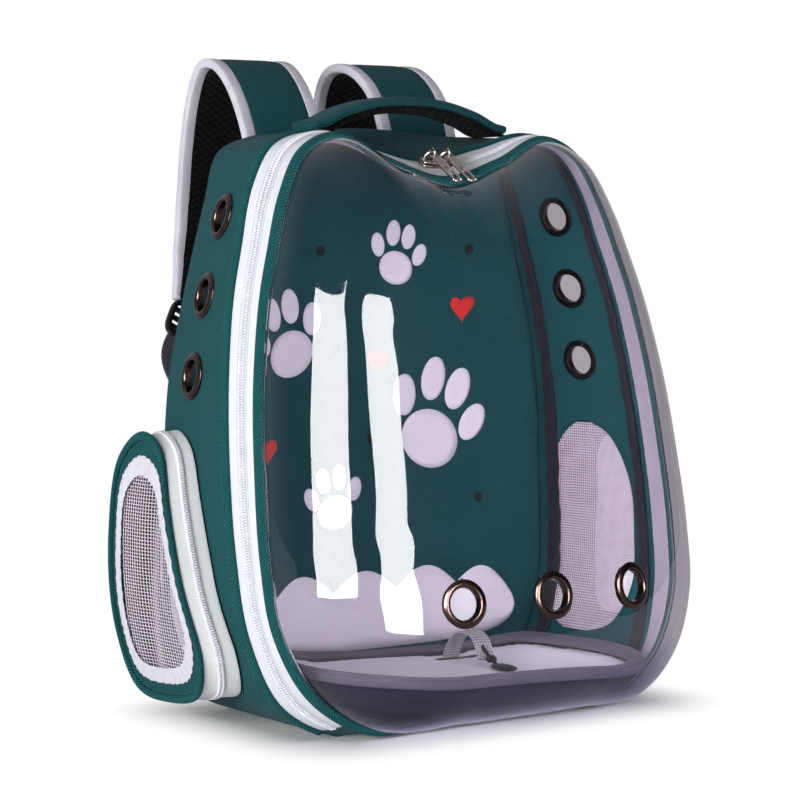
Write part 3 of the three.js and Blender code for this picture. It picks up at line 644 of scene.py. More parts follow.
def metal(name, colour, rough, wear=0.12):
    """Polished metal with faint smears in its gloss."""
    made = Finish(name, colour, rough, Metallic=1.0)
    cloud = made.noise(4 * MM)
    made.rough_range(cloud, rough - wear / 2, rough + wear)
    made.tint(cloud, 0.85, 1.15)
    return made.material


def moulded(name, colour, rough):
    """Moulded plastic with a fine grain."""
    made = Finish(name, colour, rough, Specular_IOR_Level=0.5)
    made.tint(made.noise(10 * MM), 0.85, 1.2)
    made.bump(made.noise(0.8 * MM, 2.0), 0.12 * MM)
    return made.material


def clear_sheet(name):
    """Clear plastic sheet with a faint lilac body colour, a little haze and a painted shade at its foot: darker
    towards the bottom.
    """
    made = Finish(name, CLEAR_TINT, 0.02, Transmission_Weight=1.0, IOR=1.42, Specular_IOR_Level=0.5)
    made.rough_range(made.noise(50 * MM), 0.01, 0.03)
    place = made.node("ShaderNodeSeparateXYZ")
    made.links.new(made.coordinates("Object"), place.inputs[0])
    # Painted shade: below these heights the tint turns a darker blue-lilac, for the shadow under the mat and
    # dark reflections at the foot
    rise = made.node("ShaderNodeMapRange", interpolation_type="SMOOTHSTEP")
    rise.inputs["From Min"].default_value = FOOT_SHADE_LOW
    rise.inputs["From Max"].default_value = FOOT_SHADE_HIGH
    made.links.new(place.outputs["Z"], rise.inputs["Value"])
    made.blend(rise.outputs["Result"], FOOT_SHADE_TINT, made.colour)
    return made.material


GREEN = twill("green_twill", display(28, 74, 79), 1.6 * MM, 0.25 * MM, contrast=0.8)
PIPING = twill("green_bias", display(26, 78, 80), 1.9 * MM, 0.35 * MM, slope=0.75, contrast=0.7)
FELT = felt("white_felt", display(204, 203, 211), 1.4 * MM, 0.5 * MM)
# Painted light: the white tape comes in a toned-down copy for the door, where the key falls strongly, and a
# brighter copy for the pocket gussets, which face away from it
TAPE = plain_cloth("white_tape", display(214, 216, 222), 1.3 * MM, 0.14 * MM, contrast=0.12)
TEETH = moulded("white_teeth", display(228, 228, 236), 0.5)
BRIGHTENED_TAPE = plain_cloth("pocket_tape_painted_light", display(251, 252, 252), 1.3 * MM, 0.14 * MM, contrast=0.1)
SILVER = plain_cloth("silver_binding", display(208, 205, 216), 1.3 * MM, 0.2 * MM, contrast=0.4)
LOOP = plain_cloth("loop_webbing", display(212, 210, 219), 2.4 * MM, 0.6 * MM, contrast=0.9)
NET = moulded("net_thread", display(214, 205, 216), 0.5)
AIR = air_mesh("black_air_mesh", display(13, 13, 15), 4.6 * MM, 1.0 * MM)
GREY = plain_cloth("grey_binding", display(40, 40, 47), 1.2 * MM, 0.3 * MM, contrast=0.4)
BACKING = plain_cloth("zip_backing", display(186, 178, 194), 1.2 * MM, 0.2 * MM, contrast=0.2)
WEB = twill("grey_webbing", display(70, 68, 76), 2.2 * MM, 0.3 * MM, slope=0.5)
LILAC = plain_cloth("mat_cloth", display(238, 236, 243), 0.8 * MM, 0.08 * MM, contrast=0.05)
# Painted shade: a dark blue-violet for the mat's underside and rim, standing in for the shadow under the mat
# seen through the dome
SHADED_UNDERSIDE = plain_cloth("mat_underside_painted_shade", display(35, 34, 58), 1.0 * MM, 0.1 * MM, contrast=0.2)
HEM = plain_cloth("mat_hem", display(100, 96, 108), 1.4 * MM, 0.25 * MM, contrast=0.4)
CLEAR = clear_sheet("clear_sheet")
BRONZE = metal("dark_bronze", display(78, 64, 59), 0.18)
NICKEL = metal("zip_nickel", display(176, 165, 160), 0.2)
BLACK = moulded("black_plastic", display(20, 19, 22), 0.4)
INK_WHITE = plain_cloth("white_ink", display(232, 230, 238), 1.1 * MM, 0.05 * MM, contrast=0.04)
INK_RED = plain_cloth("red_ink", display(214, 52, 46), 1.1 * MM, 0.05 * MM, contrast=0.06)
INK_BLACK = plain_cloth("black_ink", display(26, 26, 32), 1.1 * MM, 0.05 * MM, contrast=0.1)
THREAD = moulded("pale_thread", display(200, 198, 210), 0.6)
THREAD_GREEN = moulded("green_thread", display(40, 104, 94), 0.6)


# Stitching and zip teeth

def along_path(path, pitch):
    """Evenly spaced places along a path with their directions."""
    steps = np.linalg.norm(np.diff(path, axis=0), axis=-1)
    length = np.concatenate([[0], np.cumsum(steps)])
    marks = np.arange(pitch / 2, length[-1], pitch)
    places = np.stack([np.interp(marks, length, path[:, k]) for k in range(3)], -1)
    ahead = np.stack([np.interp(marks + pitch / 4, length, path[:, k]) for k in range(3)], -1)
    behind = np.stack([np.interp(marks - pitch / 4, length, path[:, k]) for k in range(3)], -1)
    return places, unit(ahead - behind), marks / length[-1]


def stitches(surface, s, v, height, pitch=3.6 * MM, size=(0.35 * MM, 1.25 * MM, 0.28 * MM)):
    """A row of sewn stitches along a line of constant v on a surface."""
    v = np.full(s.shape, v)
    path = surface(s, v) + normal(surface, s, v) * height
    places, along, share = along_path(path, pitch)
    at = np.interp(share, np.linspace(0, 1, len(s)), s)
    up = normal(surface, at, np.full(at.shape, v[0]))
    return beads(places, np.cross(along, up), along, up, size)


def zip_teeth(surface, s, middle, spread, height, pitch=1.85 * MM):
    """Closed coil zip: two rows of small oval turns that meet along the middle line."""
    rows = []
    for side in (-1, 1):
        v = np.full(s.shape, middle + side * spread)
        path = surface(s, v) + normal(surface, s, v) * height
        places, along, share = along_path(path, pitch)
        at = np.interp(share, np.linspace(0, 1, len(s)), s)
        up = normal(surface, at, np.full(at.shape, middle))
        lean = unit(np.cross(along, up) + side * 0.25 * along)
        rows.append(beads(places, lean, np.cross(up, lean), up, (1.85 * MM, 0.72 * MM, 1.1 * MM)))
    return join(rows)


# Cloth body with its vent holes and windows

def polar(outline, middle):
    """Radius of a star-shaped outline about its middle, as a function of the angle."""
    away = outline - middle
    angle = np.arctan2(away[:, 1], away[:, 0])
    order = np.argsort(angle)
    turns = np.concatenate([angle[order] - 2 * pi, angle[order], angle[order] + 2 * pi])
    radii = np.tile(np.hypot(away[:, 0], away[:, 1])[order], 3)
    return lambda a: np.interp(a, turns, radii)


def pocket_line(side):
    """Pocket outline y, z as a function of a turn and a scale about its middle."""
    rows, middle, _ = POCKETS[side]
    loop = rows[::-1]

    def scaled(t, scale):
        """The outline at a turn, drawn towards its middle by a scale."""
        return middle + (smooth_line(loop, t, closed=True) - middle) * np.asarray(scale)[..., None]
    return scaled


def punch(patch, seats, radius):
    """Leaves out the faces round each seat and draws the edge of the gap to a circle about the seat."""
    verts, faces, uv = patch
    verts = verts.copy()
    gone = np.zeros(len(faces), bool)
    for place, out in seats:
        cut = np.linalg.norm(verts[faces].mean(1) - place, axis=-1) < radius
        edge = np.intersect1d(faces[cut], faces[~cut])
        away = verts[edge] - place
        lift = (away @ out)[:, None] * out
        verts[edge] = place + lift + unit(away - lift) * radius
        gone |= cut
    return trimmed((verts, faces, uv), gone)


def trimmed(patch, gone):
    """The patch without the faces that are gone, nor the points only they used."""
    verts, faces, uv = patch
    used, index = np.unique(faces[~gone], return_inverse=True)
    return verts[used], index.reshape(-1, 4), uv[~gone]


def side_seats():
    """Places and outward directions of the side vents on the +X wall."""
    seats = {}
    for row, (y, z) in SIDE_VENTS.items():
        s, v = on_wall(y, z)
        seats[row] = gusset(s, v), normal(gusset, s, v)
    return seats


def body_cloth():
    """One cloth sheet round the top, sides and base, with round vent holes and windows cut to their line."""
    s, v = np.meshgrid(np.arange(BODY_STEPS) / BODY_STEPS, np.linspace(0, 1, BODY_ROWS), indexing="ij")
    points = gusset(s, v)
    pucker = np.sin(s * 2 * pi * 61 + 4 * np.sin(s * 2 * pi * 7)) * np.exp(-((1 - v) / 0.07) ** 2)
    slack = np.sin(s * 2 * pi * 9 + v * 5) * np.sin(v * pi) * (points[..., 2] > 60 * MM)
    points = points - normal(gusset, s, v) * (0.35 * MM * pucker + 0.5 * MM * slack)[..., None]
    seats = [
        (place * (sign, 1, 1), out * (sign, 1, 1))
        for place, out in side_seats().values() for sign in (1, -1)
    ]
    verts, faces, uv = punch(grid(points, (True, False)), seats, HOLE + 2 * MM)
    centres = verts[faces].mean(1)
    drop = np.zeros(len(faces), bool)
    for side, sign in (("right", 1), ("left", -1)):
        middle, window = POCKETS[side][1:]
        radius = polar(pocket_line(side)(np.arange(240) / 240, np.full(240, window)), middle)
        away = centres[:, 1:] - middle
        inside = np.hypot(away[:, 0], away[:, 1]) < radius(np.arctan2(away[:, 1], away[:, 0]))
        cut = inside & (centres[:, 0] * sign > 0.1)
        edge = np.intersect1d(faces[cut], faces[~cut])
        reach = verts[edge, 1:] - middle
        angle = np.arctan2(reach[:, 1], reach[:, 0])
        verts[edge, 1:] = middle + np.stack([np.cos(angle), np.sin(angle)], -1) * radius(angle)[:, None]
        verts[edge, 0] = sign * wall_x(verts[edge, 1], verts[edge, 2])
        drop |= cut
    patch = trimmed((verts, faces, uv), drop)
    nodes = ("top_wall", "side_wall_left", "side_wall_right", "base_panel")
    thicken(piece("body_cloth", patch, GREEN, nodes), 2.2 * MM)


def back_panel():
    """Padded back: out over the inner face, round the rim, back over an outer face of sixth-power crown."""
    steps = 224
    rows = 24
    s = np.arange(steps) / steps
    inside = [gusset(s, np.full(s.shape, w)) - normal(gusset, s, np.full(s.shape, w + 0.01)) * 3.2 * MM
              for w in (0.0, BACK_THICK / (BACK_Y - seam_line(s)[:, 1]).mean())]
    centre = np.array((0, 0, MIDDLE_Z))
    flat = [p * (1, 0, 1) for p in inside]
    gaps = [np.linalg.norm(p - centre, axis=-1) for p in flat]
    rim = np.where((gaps[0] < gaps[1])[:, None], *flat)
    inner = np.concatenate([np.linspace(0.0, 0.985, rows), [1.0]])
    outer = np.concatenate([[1.0], np.linspace(0.985, 0.0, rows)])
    deep = np.concatenate([np.full(rows, BACK_Y - BACK_THICK), [BACK_Y - BACK_THICK + 1.5 * MM]])
    crown = np.concatenate([[BACK_Y - 1.5 * MM], BACK_Y + 0.6 * MM * (1 - outer[1:] ** 6)])
    shares = np.concatenate([inner, outer])
    depth = np.concatenate([deep, crown])
    points = centre + (rim[:, None] - centre) * shares[None, :, None]
    points[..., 1] = depth
    verts, faces, _ = grid(points, (True, False), flip=True)
    patch = verts, faces, verts[faces][..., ::2]
    panel = piece("back_pad", patch, GREEN, ("back_panel",))


# Zip band round the door

def zip_band():
    """Piped seam, two woven tapes, coil teeth and the piped frame; a cloth hinge closes the bottom."""
    run = np.linspace(-ZIP_END, ZIP_END, 620)
    whole = np.arange(640) / 640
    seam = bar(roll(zip_strip, run, -0.02, 0.135, -1.4 * MM, 2.6 * MM, 18, 2.3))
    piece("seam_roll", seam, PIPING, ("seam_piping",))
    seam_row = stitches(gusset, run, 0.955, 0.25 * MM)
    piece("seam_stitch", seam_row, THREAD_GREEN, ())
    for name, v0, v1 in (("rear", 0.12, 0.472), ("front", 0.478, 0.81)):
        tape = bar(roll(zip_strip, run, v0, v1, -1.3 * MM, -0.1 * MM, 12, 8))
        piece("tape_" + name, tape, TAPE, ("zip_tape_" + name,))
    teeth = zip_teeth(zip_strip, run, ZIP_MIDDLE, 0.046, 0.45 * MM)
    piece("coil_teeth", teeth, TEETH, ("zip_coil",))
    guards = [
        bar(roll(zip_strip, run, v - 0.012, v + 0.012, -0.3 * MM, 0.35 * MM, 8, 2)) for v in (0.355, 0.595)
    ]
    piece("coil_edges", join(guards), TAPE, ())
    edge = hoop(roll(zip_strip, whole, 0.79, 0.99, -2.6 * MM, 2.9 * MM, 20, 2.2))
    piece("frame_roll", edge, PIPING, ("frame_piping",))
    low = np.linspace(ZIP_END + 0.0006, 1 - ZIP_END - 0.0006, 120)
    hinge = bar(roll(zip_strip, low, 0.02, 0.79, -1.6 * MM, -0.2 * MM, 16, 8))
    piece("hinge_cloth", hinge, GREEN, ("door_hinge",))


def clear_dome():
    """Blown clear sheet with three vent holes, its edge under the frame's piping."""
    s, v = np.meshgrid(np.arange(320) / 320, np.linspace(0.002, 1, 100), indexing="ij")
    places = [on_dome(x, z) for x, z in DOME_VENTS.values()]
    seats = [(dome(*place), normal(dome, *place)) for place in places]
    patch = punch(grid(dome(s, v), (True, False)), seats, HOLE + 2 * MM)
    shown = piece("clear_shell", patch, CLEAR, ("clear_dome",))
    thicken(shown, DOME_WALL)
    shown.visible_shadow = False


def eyelet(place, out, wall):
    """Rolled metal ring: a closed profile of radius and height carried round the hole."""
    profile = np.array([
        (HOLE, -0.2 * MM), (HOLE + 0.2 * MM, 1.4 * MM), (HOLE + 1.1 * MM, 2.5 * MM),
        (HOLE + 2.6 * MM, 2.6 * MM), (FLANGE - 1.4 * MM, 1.9 * MM), (FLANGE - 0.2 * MM, 1.0 * MM),
        (FLANGE - 0.4 * MM, 0.4 * MM), (HOLE + 2.6 * MM, 0.5 * MM), (HOLE + 1.4 * MM, -wall),
        (HOLE + 2.4 * MM, -wall - 0.8 * MM), (FLANGE - 1.6 * MM, -wall - 0.9 * MM),
        (FLANGE - 1.4 * MM, -wall - 1.5 * MM), (HOLE + 1.6 * MM, -wall - 2.1 * MM), (HOLE, -wall - 1.5 * MM)])
    ring = smooth_line(profile, np.arange(40) / 40, closed=True)
    turn = np.linspace(0, 2 * pi, 56, endpoint=False)
    side = unit(np.cross(out, (0.0, 0.3, 1.0)))
    up = np.cross(out, side)
    away = np.cos(turn)[:, None] * side + np.sin(turn)[:, None] * up
    return hoop(place + away[:, None] * ring[None, :, :1] + out * ring[None, :, 1:])


def eyelets():
    """Rings in the side walls' vents and in the dome's."""
    for row, (place, out) in side_seats().items():
        for side in ("right", "left"):
            patch = sided(eyelet(place, out, WALL), side)
            piece(f"vent_{row}_{side}", patch, BRONZE, (f"side_eyelet_{row}_{side}",))
    for row, (x, z) in DOME_VENTS.items():
        s, v = on_dome(x, z)
        patch = eyelet(dome(s, v), normal(dome, s, v), DOME_WALL)
        piece(f"vent_dome_{row}", patch, BRONZE, (f"dome_eyelet_{row}",))


# Side pockets

def face_x(z):
    """Pocket face's x: a shallow arch over the height."""
    return POCKET_FACE - POCKET_DROP * ((z - POCKET_CROWN_Z) / POCKET_SPAN) ** 2


def net(outline, middle, depth_at, pitch, thread):
    """Open net: two sets of round threads waving over each other, kept where they lie inside an outline."""
    radius = polar(outline, middle)
    low, high = outline.min(0), outline.max(0)
    sides = 5
    turn = np.arange(sides) * 2 * pi / sides
    patches = []
    for axis in (0, 1):
        across = np.arange(low[axis], high[axis], pitch[axis])
        along = np.arange(low[1 - axis], high[1 - axis], pitch[1 - axis] / 2)
        a, b = np.meshgrid(across, along, indexing="ij")
        y, z = (a, b) if axis == 0 else (b, a)
        phase = pi * np.arange(len(along))[None] / 2 + pi * np.arange(len(across))[:, None] + pi * axis
        x = depth_at(y, z) + 0.22 * MM * np.cos(phase)
        line = np.stack([x, y, z], -1)
        away = line[..., 1:] - middle
        inside = np.hypot(away[..., 0], away[..., 1]) < radius(np.arctan2(away[..., 1], away[..., 0]))
        wide = np.eye(3)[1 + axis]
        ring = thread * (np.cos(turn)[:, None] * (1, 0, 0) + np.sin(turn)[:, None] * wide)
        inside[:, [0, -1]] = False
        tip = inside & ~(np.roll(inside, 1, 1) & np.roll(inside, -1, 1))
        points = line[:, :, None] + ring * np.where(tip, 0, 1)[:, :, None, None]
        rows, columns = line.shape[:2]
        i, j, k = np.meshgrid(np.arange(rows), np.arange(columns - 1), np.arange(sides), indexing="ij")
        corner = lambda dj, dk: ((i * columns + j + dj) * sides + (k + dk) % sides).reshape(-1)
        order = [(0, 0), (0, 1), (1, 1), (1, 0)] if axis == 0 else [(0, 0), (1, 0), (1, 1), (0, 1)]
        faces = np.stack([corner(*c) for c in order], -1)
        held = inside[:, :-1] & inside[:, 1:] & ~(tip[:, :-1] & tip[:, 1:])
        keep = held[:, :, None] & np.ones(sides, bool)
        used, index = np.unique(faces[keep.reshape(-1)], return_inverse=True)
        verts = points.reshape(-1, 3)[used]
        quads = index.reshape(-1, 4)
        patches.append((verts, quads, verts[quads][..., 1:]))
    return join(patches)


def pocket(side):
    """Zipped pocket: white gusset with a coil, green face, piped edge, crinkled window hem and nets."""
    line = pocket_line(side)
    _, middle, window = POCKETS[side]

    def on_face(t, scale):
        """The outline at a scale, on the pocket's face."""
        flat = line(t, scale)
        return np.concatenate([face_x(flat[..., 1])[..., None], flat], -1)

    def wall_strip(t, v):
        """Straight from the outline on the wall (v 0) to the face's rim (v 1)."""
        t, v = np.broadcast_arrays(t, v)
        flat = line(t, np.ones(t.shape))
        foot = np.concatenate([wall_x(flat[..., 0], flat[..., 1])[..., None] + POCKET_LIFT, flat], -1)
        return mix(foot, on_face(t, np.full(t.shape, POCKET_RIM)), v)

    def front(t, v):
        """The face from its rim (v 0) to its window (v 1)."""
        t, v = np.broadcast_arrays(t, v)
        return on_face(t, POCKET_RIM + (POCKET_WINDOW - POCKET_RIM) * v)

    t = np.arange(240) / 240
    closed = np.linspace(0, 1, 241)

    def add(name, patch, finish, node, slot):
        """Puts a piece on this side, for this side's node."""
        nodes = (f"{node}_{side}",) if node else ()
        return piece(f"{name}_{side}", sided(patch, side), finish, nodes)

    sides = 28
    strip = hoop(roll(wall_strip, t, 0.0, 0.95, -2 * MM, 0, sides, 7))
    # Painted light: the gusset takes the brighter copy of the white tape, for light it doesn't get from the key
    shell = add("pocket_gusset", strip, BRIGHTENED_TAPE, "pocket_wall", "tape_white")
    deep = section(sides, 7)[:, 1]
    lined = np.tile(deep + np.roll(deep, -1) < -0.6, len(t))
    shell.data.materials.append(GREY)
    shell.data.polygons.foreach_set("material_index", lined.astype(np.int32))
    teeth = zip_teeth(wall_strip, closed, 0.5, 0.042, 0.6 * MM)
    add("pocket_coil", teeth, TEETH, None, "tape_white")
    panel = hoop(roll(front, t, 0.05, 1.0, -2 * MM, 0.2 * MM, 24, 4))
    add("pocket_panel", panel, GREEN, "pocket_face", "fabric_green")
    edge = hoop(roll(front, t, -0.13, 0.13, -1.2 * MM, 3.4 * MM, 18, 2.2))
    add("pocket_roll", edge, PIPING, "pocket_piping", "piping_green")
    hem = roll(front, t, 0.56, 1.14, 0.2 * MM, 1.5 * MM, 20, 3.4)
    crinkle = np.sin(t * 2 * pi * 47 + 2.2 * np.sin(t * 2 * pi * 5)) + 0.7 * np.sin(t * 2 * pi * 83 + 1)
    hem[..., 0] += 0.25 * MM * crinkle[:, None]
    hem[..., 1:] += (hem[..., 1:] - middle) * (0.0045 * np.roll(crinkle, 3))[:, None, None]
    add("window_hem", hoop(hem), FELT, "window_binding", "tape_white")
    add("pocket_seam", stitches(front, closed, 0.2, 0.35 * MM), THREAD_GREEN, None, "fabric_green")

    def creased(y, z):
        """The window net's x: behind the face, with a slanting crease of bell section."""
        crease = (y - middle[0] + 0.12 * (z - middle[1])) / (9 * MM)
        return face_x(z) - 1.4 * MM - 2.2 * MM * np.exp(-crease ** 2)

    def behind(y, z):
        """The wall net's x: just inside the wall."""
        return wall_x(y, z) - 1.2 * MM

    turns = np.arange(200) / 200
    opening, inner = (line(turns, np.full(turns.shape, scale)) for scale in (POCKET_WINDOW * 1.02, window))
    window_net = net(opening, middle, creased, (3.0 * MM, 2.4 * MM), 0.32 * MM)
    add("pocket_net", window_net, NET, "pocket_mesh", "mesh_pale")
    wall_net = net(inner, middle, behind, (2 * MM, 2 * MM), 0.42 * MM)
    add("wall_net", wall_net, NET, "wall_mesh", "mesh_pale")


# Straps, buckles, webbing and handle

def ribbon(rows, widths):
    """Ribbon along a centre line, its width as level with X as the line allows; its ends run straight on."""
    marks = np.linspace(0, 1, len(rows))

    def surface(s, v):
        """Point at a share s along the ribbon and v across it."""
        s, v = np.broadcast_arrays(np.asarray(s, float), np.asarray(v, float))
        t = np.clip(s, 0, 1)
        along = heading(rows, t)
        across = unit(np.array((1.0, 0, 0)) - along * along[..., :1])
        centre = smooth_line(rows, t) + along * ((s - t) * OVERRUN)[..., None]
        return centre + across * ((v - 0.5) * np.interp(t, marks, widths))[..., None]
    return surface


def buckle(place, across, along, up):
    """Ladder buckle: a rounded frame with three ribbed bars across it."""
    rail = 2.2 * MM
    wide = BUCKLE_WIDTH / 2 - rail
    long = BUCKLE_LENGTH / 2 - rail
    turn = np.linspace(0, 2 * pi, 48, endpoint=False)
    ring = np.stack([np.cos(turn), np.sin(turn)], -1)
    ring = np.sign(ring) * np.abs(ring) ** 0.5
    rim = place + ring[:, :1] * wide * across + ring[:, 1:] * long * along
    patches = [tube(rim, rail, 2.5 * MM, up, 10, 3, loop=True)]
    ends = np.linspace(-1, 1, 9)[:, None]
    for share, lift in ((-0.42, 0.0), (0.05, 0.8), (0.55, 0.4)):
        path = place + ends * wide * across + share * long * along + lift * MM * up
        patches.append(tube(path, 2.0 * MM, 1.7 * MM, up, 10, 3))
    return join(patches)


def strap(side):
    """Shoulder strap: padded cloth, spacer mesh under it, bound edges with stitches, buckle and webbing."""
    surface = ribbon(STRAP[:, :3], STRAP[:, 3])
    s = np.linspace(0.012, 0.988, 150)
    ends = np.linspace(0, 1, 160)
    hem = 0.14

    def add(name, patch, finish, node, slot):
        """Puts a piece on this side."""
        return piece(f"{name}_{side}", sided(patch, side), finish, (node,) if node else ())

    filled = bar(roll(surface, s, hem - 0.03, 1.03 - hem, 2.6 * MM, 8.8 * MM, 28, 4))
    pad = add("strap_face", filled, GREEN, f"strap_pad_{side}", "fabric_green")
    lining = bar(roll(surface, s, hem - 0.03, 1.03 - hem, 0.6 * MM, 3.4 * MM, 24, 4))
    add("strap_mesh", lining, AIR, f"strap_lining_{side}", "lining_black")
    for edge, v0, v1, row in (("inner", 0.0, hem, hem - 0.03), ("outer", 1 - hem, 1.0, 1.03 - hem)):
        bound = bar(roll(surface, ends, v0, v1, 1.6 * MM, 8.6 * MM, 24, 4.6))
        add(f"strap_hem_{edge}", bound, SILVER, f"strap_binding_{edge}_{side}", "binding_silver")
        sewn = join([stitches(surface, s, row, 8.3 * MM), stitches(surface, s, row, 1.9 * MM)])
        add(f"strap_stitch_{edge}", sewn, THREAD, None, "binding_silver")
    reach = (BUCKLE_LENGTH + 0.8 * MM) / OVERRUN
    middle = 1 + reach / 2
    along = unit(surface(middle + 0.01, 0.5) - surface(middle, 0.5))
    across = unit(surface(middle, 1.0) - surface(middle, 0.0))
    place = surface(middle, 0.5)
    ladder = buckle(place, across, along, np.cross(across, along))
    add("ladder_buckle", ladder, BLACK, f"buckle_{side}", "plastic_black")
    lead = [surface(1 + reach + past * MM / OVERRUN, 0.5) for past in (-9, 14)]
    rows = np.vstack([*lead, WEBBING])
    belt = ribbon(rows, np.full(len(rows), WEBBING_WIDTH))
    web = bar(roll(belt, np.linspace(0, 1, 90), 0, 1, -0.8 * MM, 0.8 * MM, 20, 7))
    add("strap_web", web, WEB, f"webbing_{side}", "binding_grey")
    sewn_end = np.linspace(0.93, 0.995, 20)
    sewn = join([stitches(belt, sewn_end, v, 0.85 * MM) for v in (0.15, 0.5, 0.85)])
    add("web_stitch", sewn, THREAD, None, "binding_grey")
    tab = bar(roll(surface, np.linspace(0.93, 1.09, 12), 0.2, 0.8, 0.4 * MM, 2.4 * MM, 16, 7))
    add("buckle_loop", tab, WEB, None, "binding_grey")


def handle():
    """Carry handle: a padded green roll over a spacer-mesh underside, sewn flat at both ends."""
    def surface(s, v):
        """Point at a share s along the handle and v across it."""
        s, v = np.broadcast_arrays(np.asarray(s, float), np.asarray(v, float))
        t = np.clip(s, 0, 1)
        flat = smooth_line(HANDLE, t)
        flat = flat + heading(HANDLE, t) * ((s - t) * OVERRUN)[..., None]
        return np.stack([flat[..., 0], HANDLE_Y - (v - 0.5) * HANDLE_WIDTH, flat[..., 1]], -1)

    s = np.linspace(0, 1, 140)
    points = roll(surface, s, 0.0, 1.0, -2.4 * MM, 5.4 * MM, 28, 2.8)
    fold = np.exp(-(np.minimum(s, 1 - s) / 0.06) ** 2) * np.sin(s * 2 * pi * 70)
    points[..., 2] += 0.3 * MM * fold[:, None]
    pad = piece("handle_roll", bar(points), GREEN, ("handle_pad",))
    under = roll(surface, s, 0.02, 0.98, -6.6 * MM, -1.6 * MM, 24, 3)
    slim = roll(surface, s, 0.02, 0.98, -3.6 * MM, -1.6 * MM, 24, 3)
    full = np.clip((np.minimum(s, 1 - s) - 0.02) / 0.12, 0, 1)
    under = bar(mix(slim, under, np.broadcast_to(full[:, None], under.shape[:2])))
    piece("handle_mesh", under, AIR, ("handle_lining",))
    sewn = join([stitches(surface, s, v, -0.2 * MM) for v in (0.0, 1.0)])
    piece("handle_stitch", sewn, THREAD_GREEN, ())


# Mat, tether and inner bindings

def mat_z(x, y):
    """Mat's top: level in the middle, its edges riding up as squares of the distance, tilted a little."""
    edges = 0
    for reach, (height, start, over) in zip((-y, y, np.abs(x)), MAT_RISE):
        edges = edges + height * (np.maximum(0, reach - start) / over) ** 2
    return MAT_TOP - MAT_ROLL * x + edges


def mat_plan(s, scale):
    """Mat outline scaled about its middle, lifted to the mat's top."""
    loop = np.vstack([MAT, MAT[-2:0:-1] * (-1, 1)])
    middle = np.array((0, MAT_MIDDLE_Y))
    flat = middle + (smooth_line(loop, s, closed=True) - middle) * np.asarray(scale)[..., None]
    return np.concatenate([flat, mat_z(flat[..., 0], flat[..., 1])[..., None]], -1)


def swell(obj, pressure, cap, voxel=5 * MM, frames=20):
    """Stuffs a pad: remeshed, blown up as cloth with no gravity, each point's way capped, kept as mesh."""
    def settled():
        """The mesh as its modifiers leave it."""
        graph = bpy.context.evaluated_depsgraph_get()
        return bpy.data.meshes.new_from_object(obj.evaluated_get(graph))

    fine = obj.modifiers.new("fine", "REMESH")
    fine.mode = "VOXEL"
    fine.voxel_size = voxel
    finish = obj.data.materials[0]
    obj.data = settled()
    obj.modifiers.clear()
    count = len(obj.data.vertices)
    start = np.zeros(count * 3, np.float32)
    obj.data.vertices.foreach_get("co", start)
    cloth = obj.modifiers.new("cloth", "CLOTH")
    cloth.settings.use_pressure = True
    cloth.settings.uniform_pressure_force = pressure
    cloth.settings.effector_weights.gravity = 0
    cloth.point_cache.frame_start = 1
    cloth.point_cache.frame_end = frames
    for number in range(1, frames + 1):
        bpy.context.scene.frame_set(number)
    moved = np.zeros(count * 3, np.float32)
    settled().vertices.foreach_get("co", moved)
    obj.modifiers.clear()
    bpy.context.scene.frame_set(1)
    way = (moved - start).reshape(-1, 3)
    far = np.maximum(np.linalg.norm(way, axis=-1, keepdims=True), TINY)
    rested = start.reshape(-1, 3) + way * np.minimum(1, cap / far)
    rested[:, 2] = np.maximum(rested[:, 2], MAT_FLOOR)
    obj.data.vertices.foreach_set("co", rested.ravel())
    obj.data.materials.clear()
    obj.data.materials.append(finish)
    obj.data.polygons.foreach_set("use_smooth", np.ones(len(obj.data.polygons), bool))
    soft = obj.modifiers.new("soft", "SUBSURF")
    soft.levels = soft.render_levels = 1


def plan_uv(obj):
    """UV straight down, in metres, for cloth that has lost its own."""
    mesh = obj.data
    co = np.zeros(len(mesh.vertices) * 3, np.float32)
    mesh.vertices.foreach_get("co", co)
    loops = np.zeros(len(mesh.loops), np.int32)
    mesh.loops.foreach_get("vertex_index", loops)
    layer = mesh.uv_layers.get("UVMap") or mesh.uv_layers.new(name="UVMap")
    layer.data.foreach_set("uv", co.reshape(-1, 3)[loops, :2].ravel())


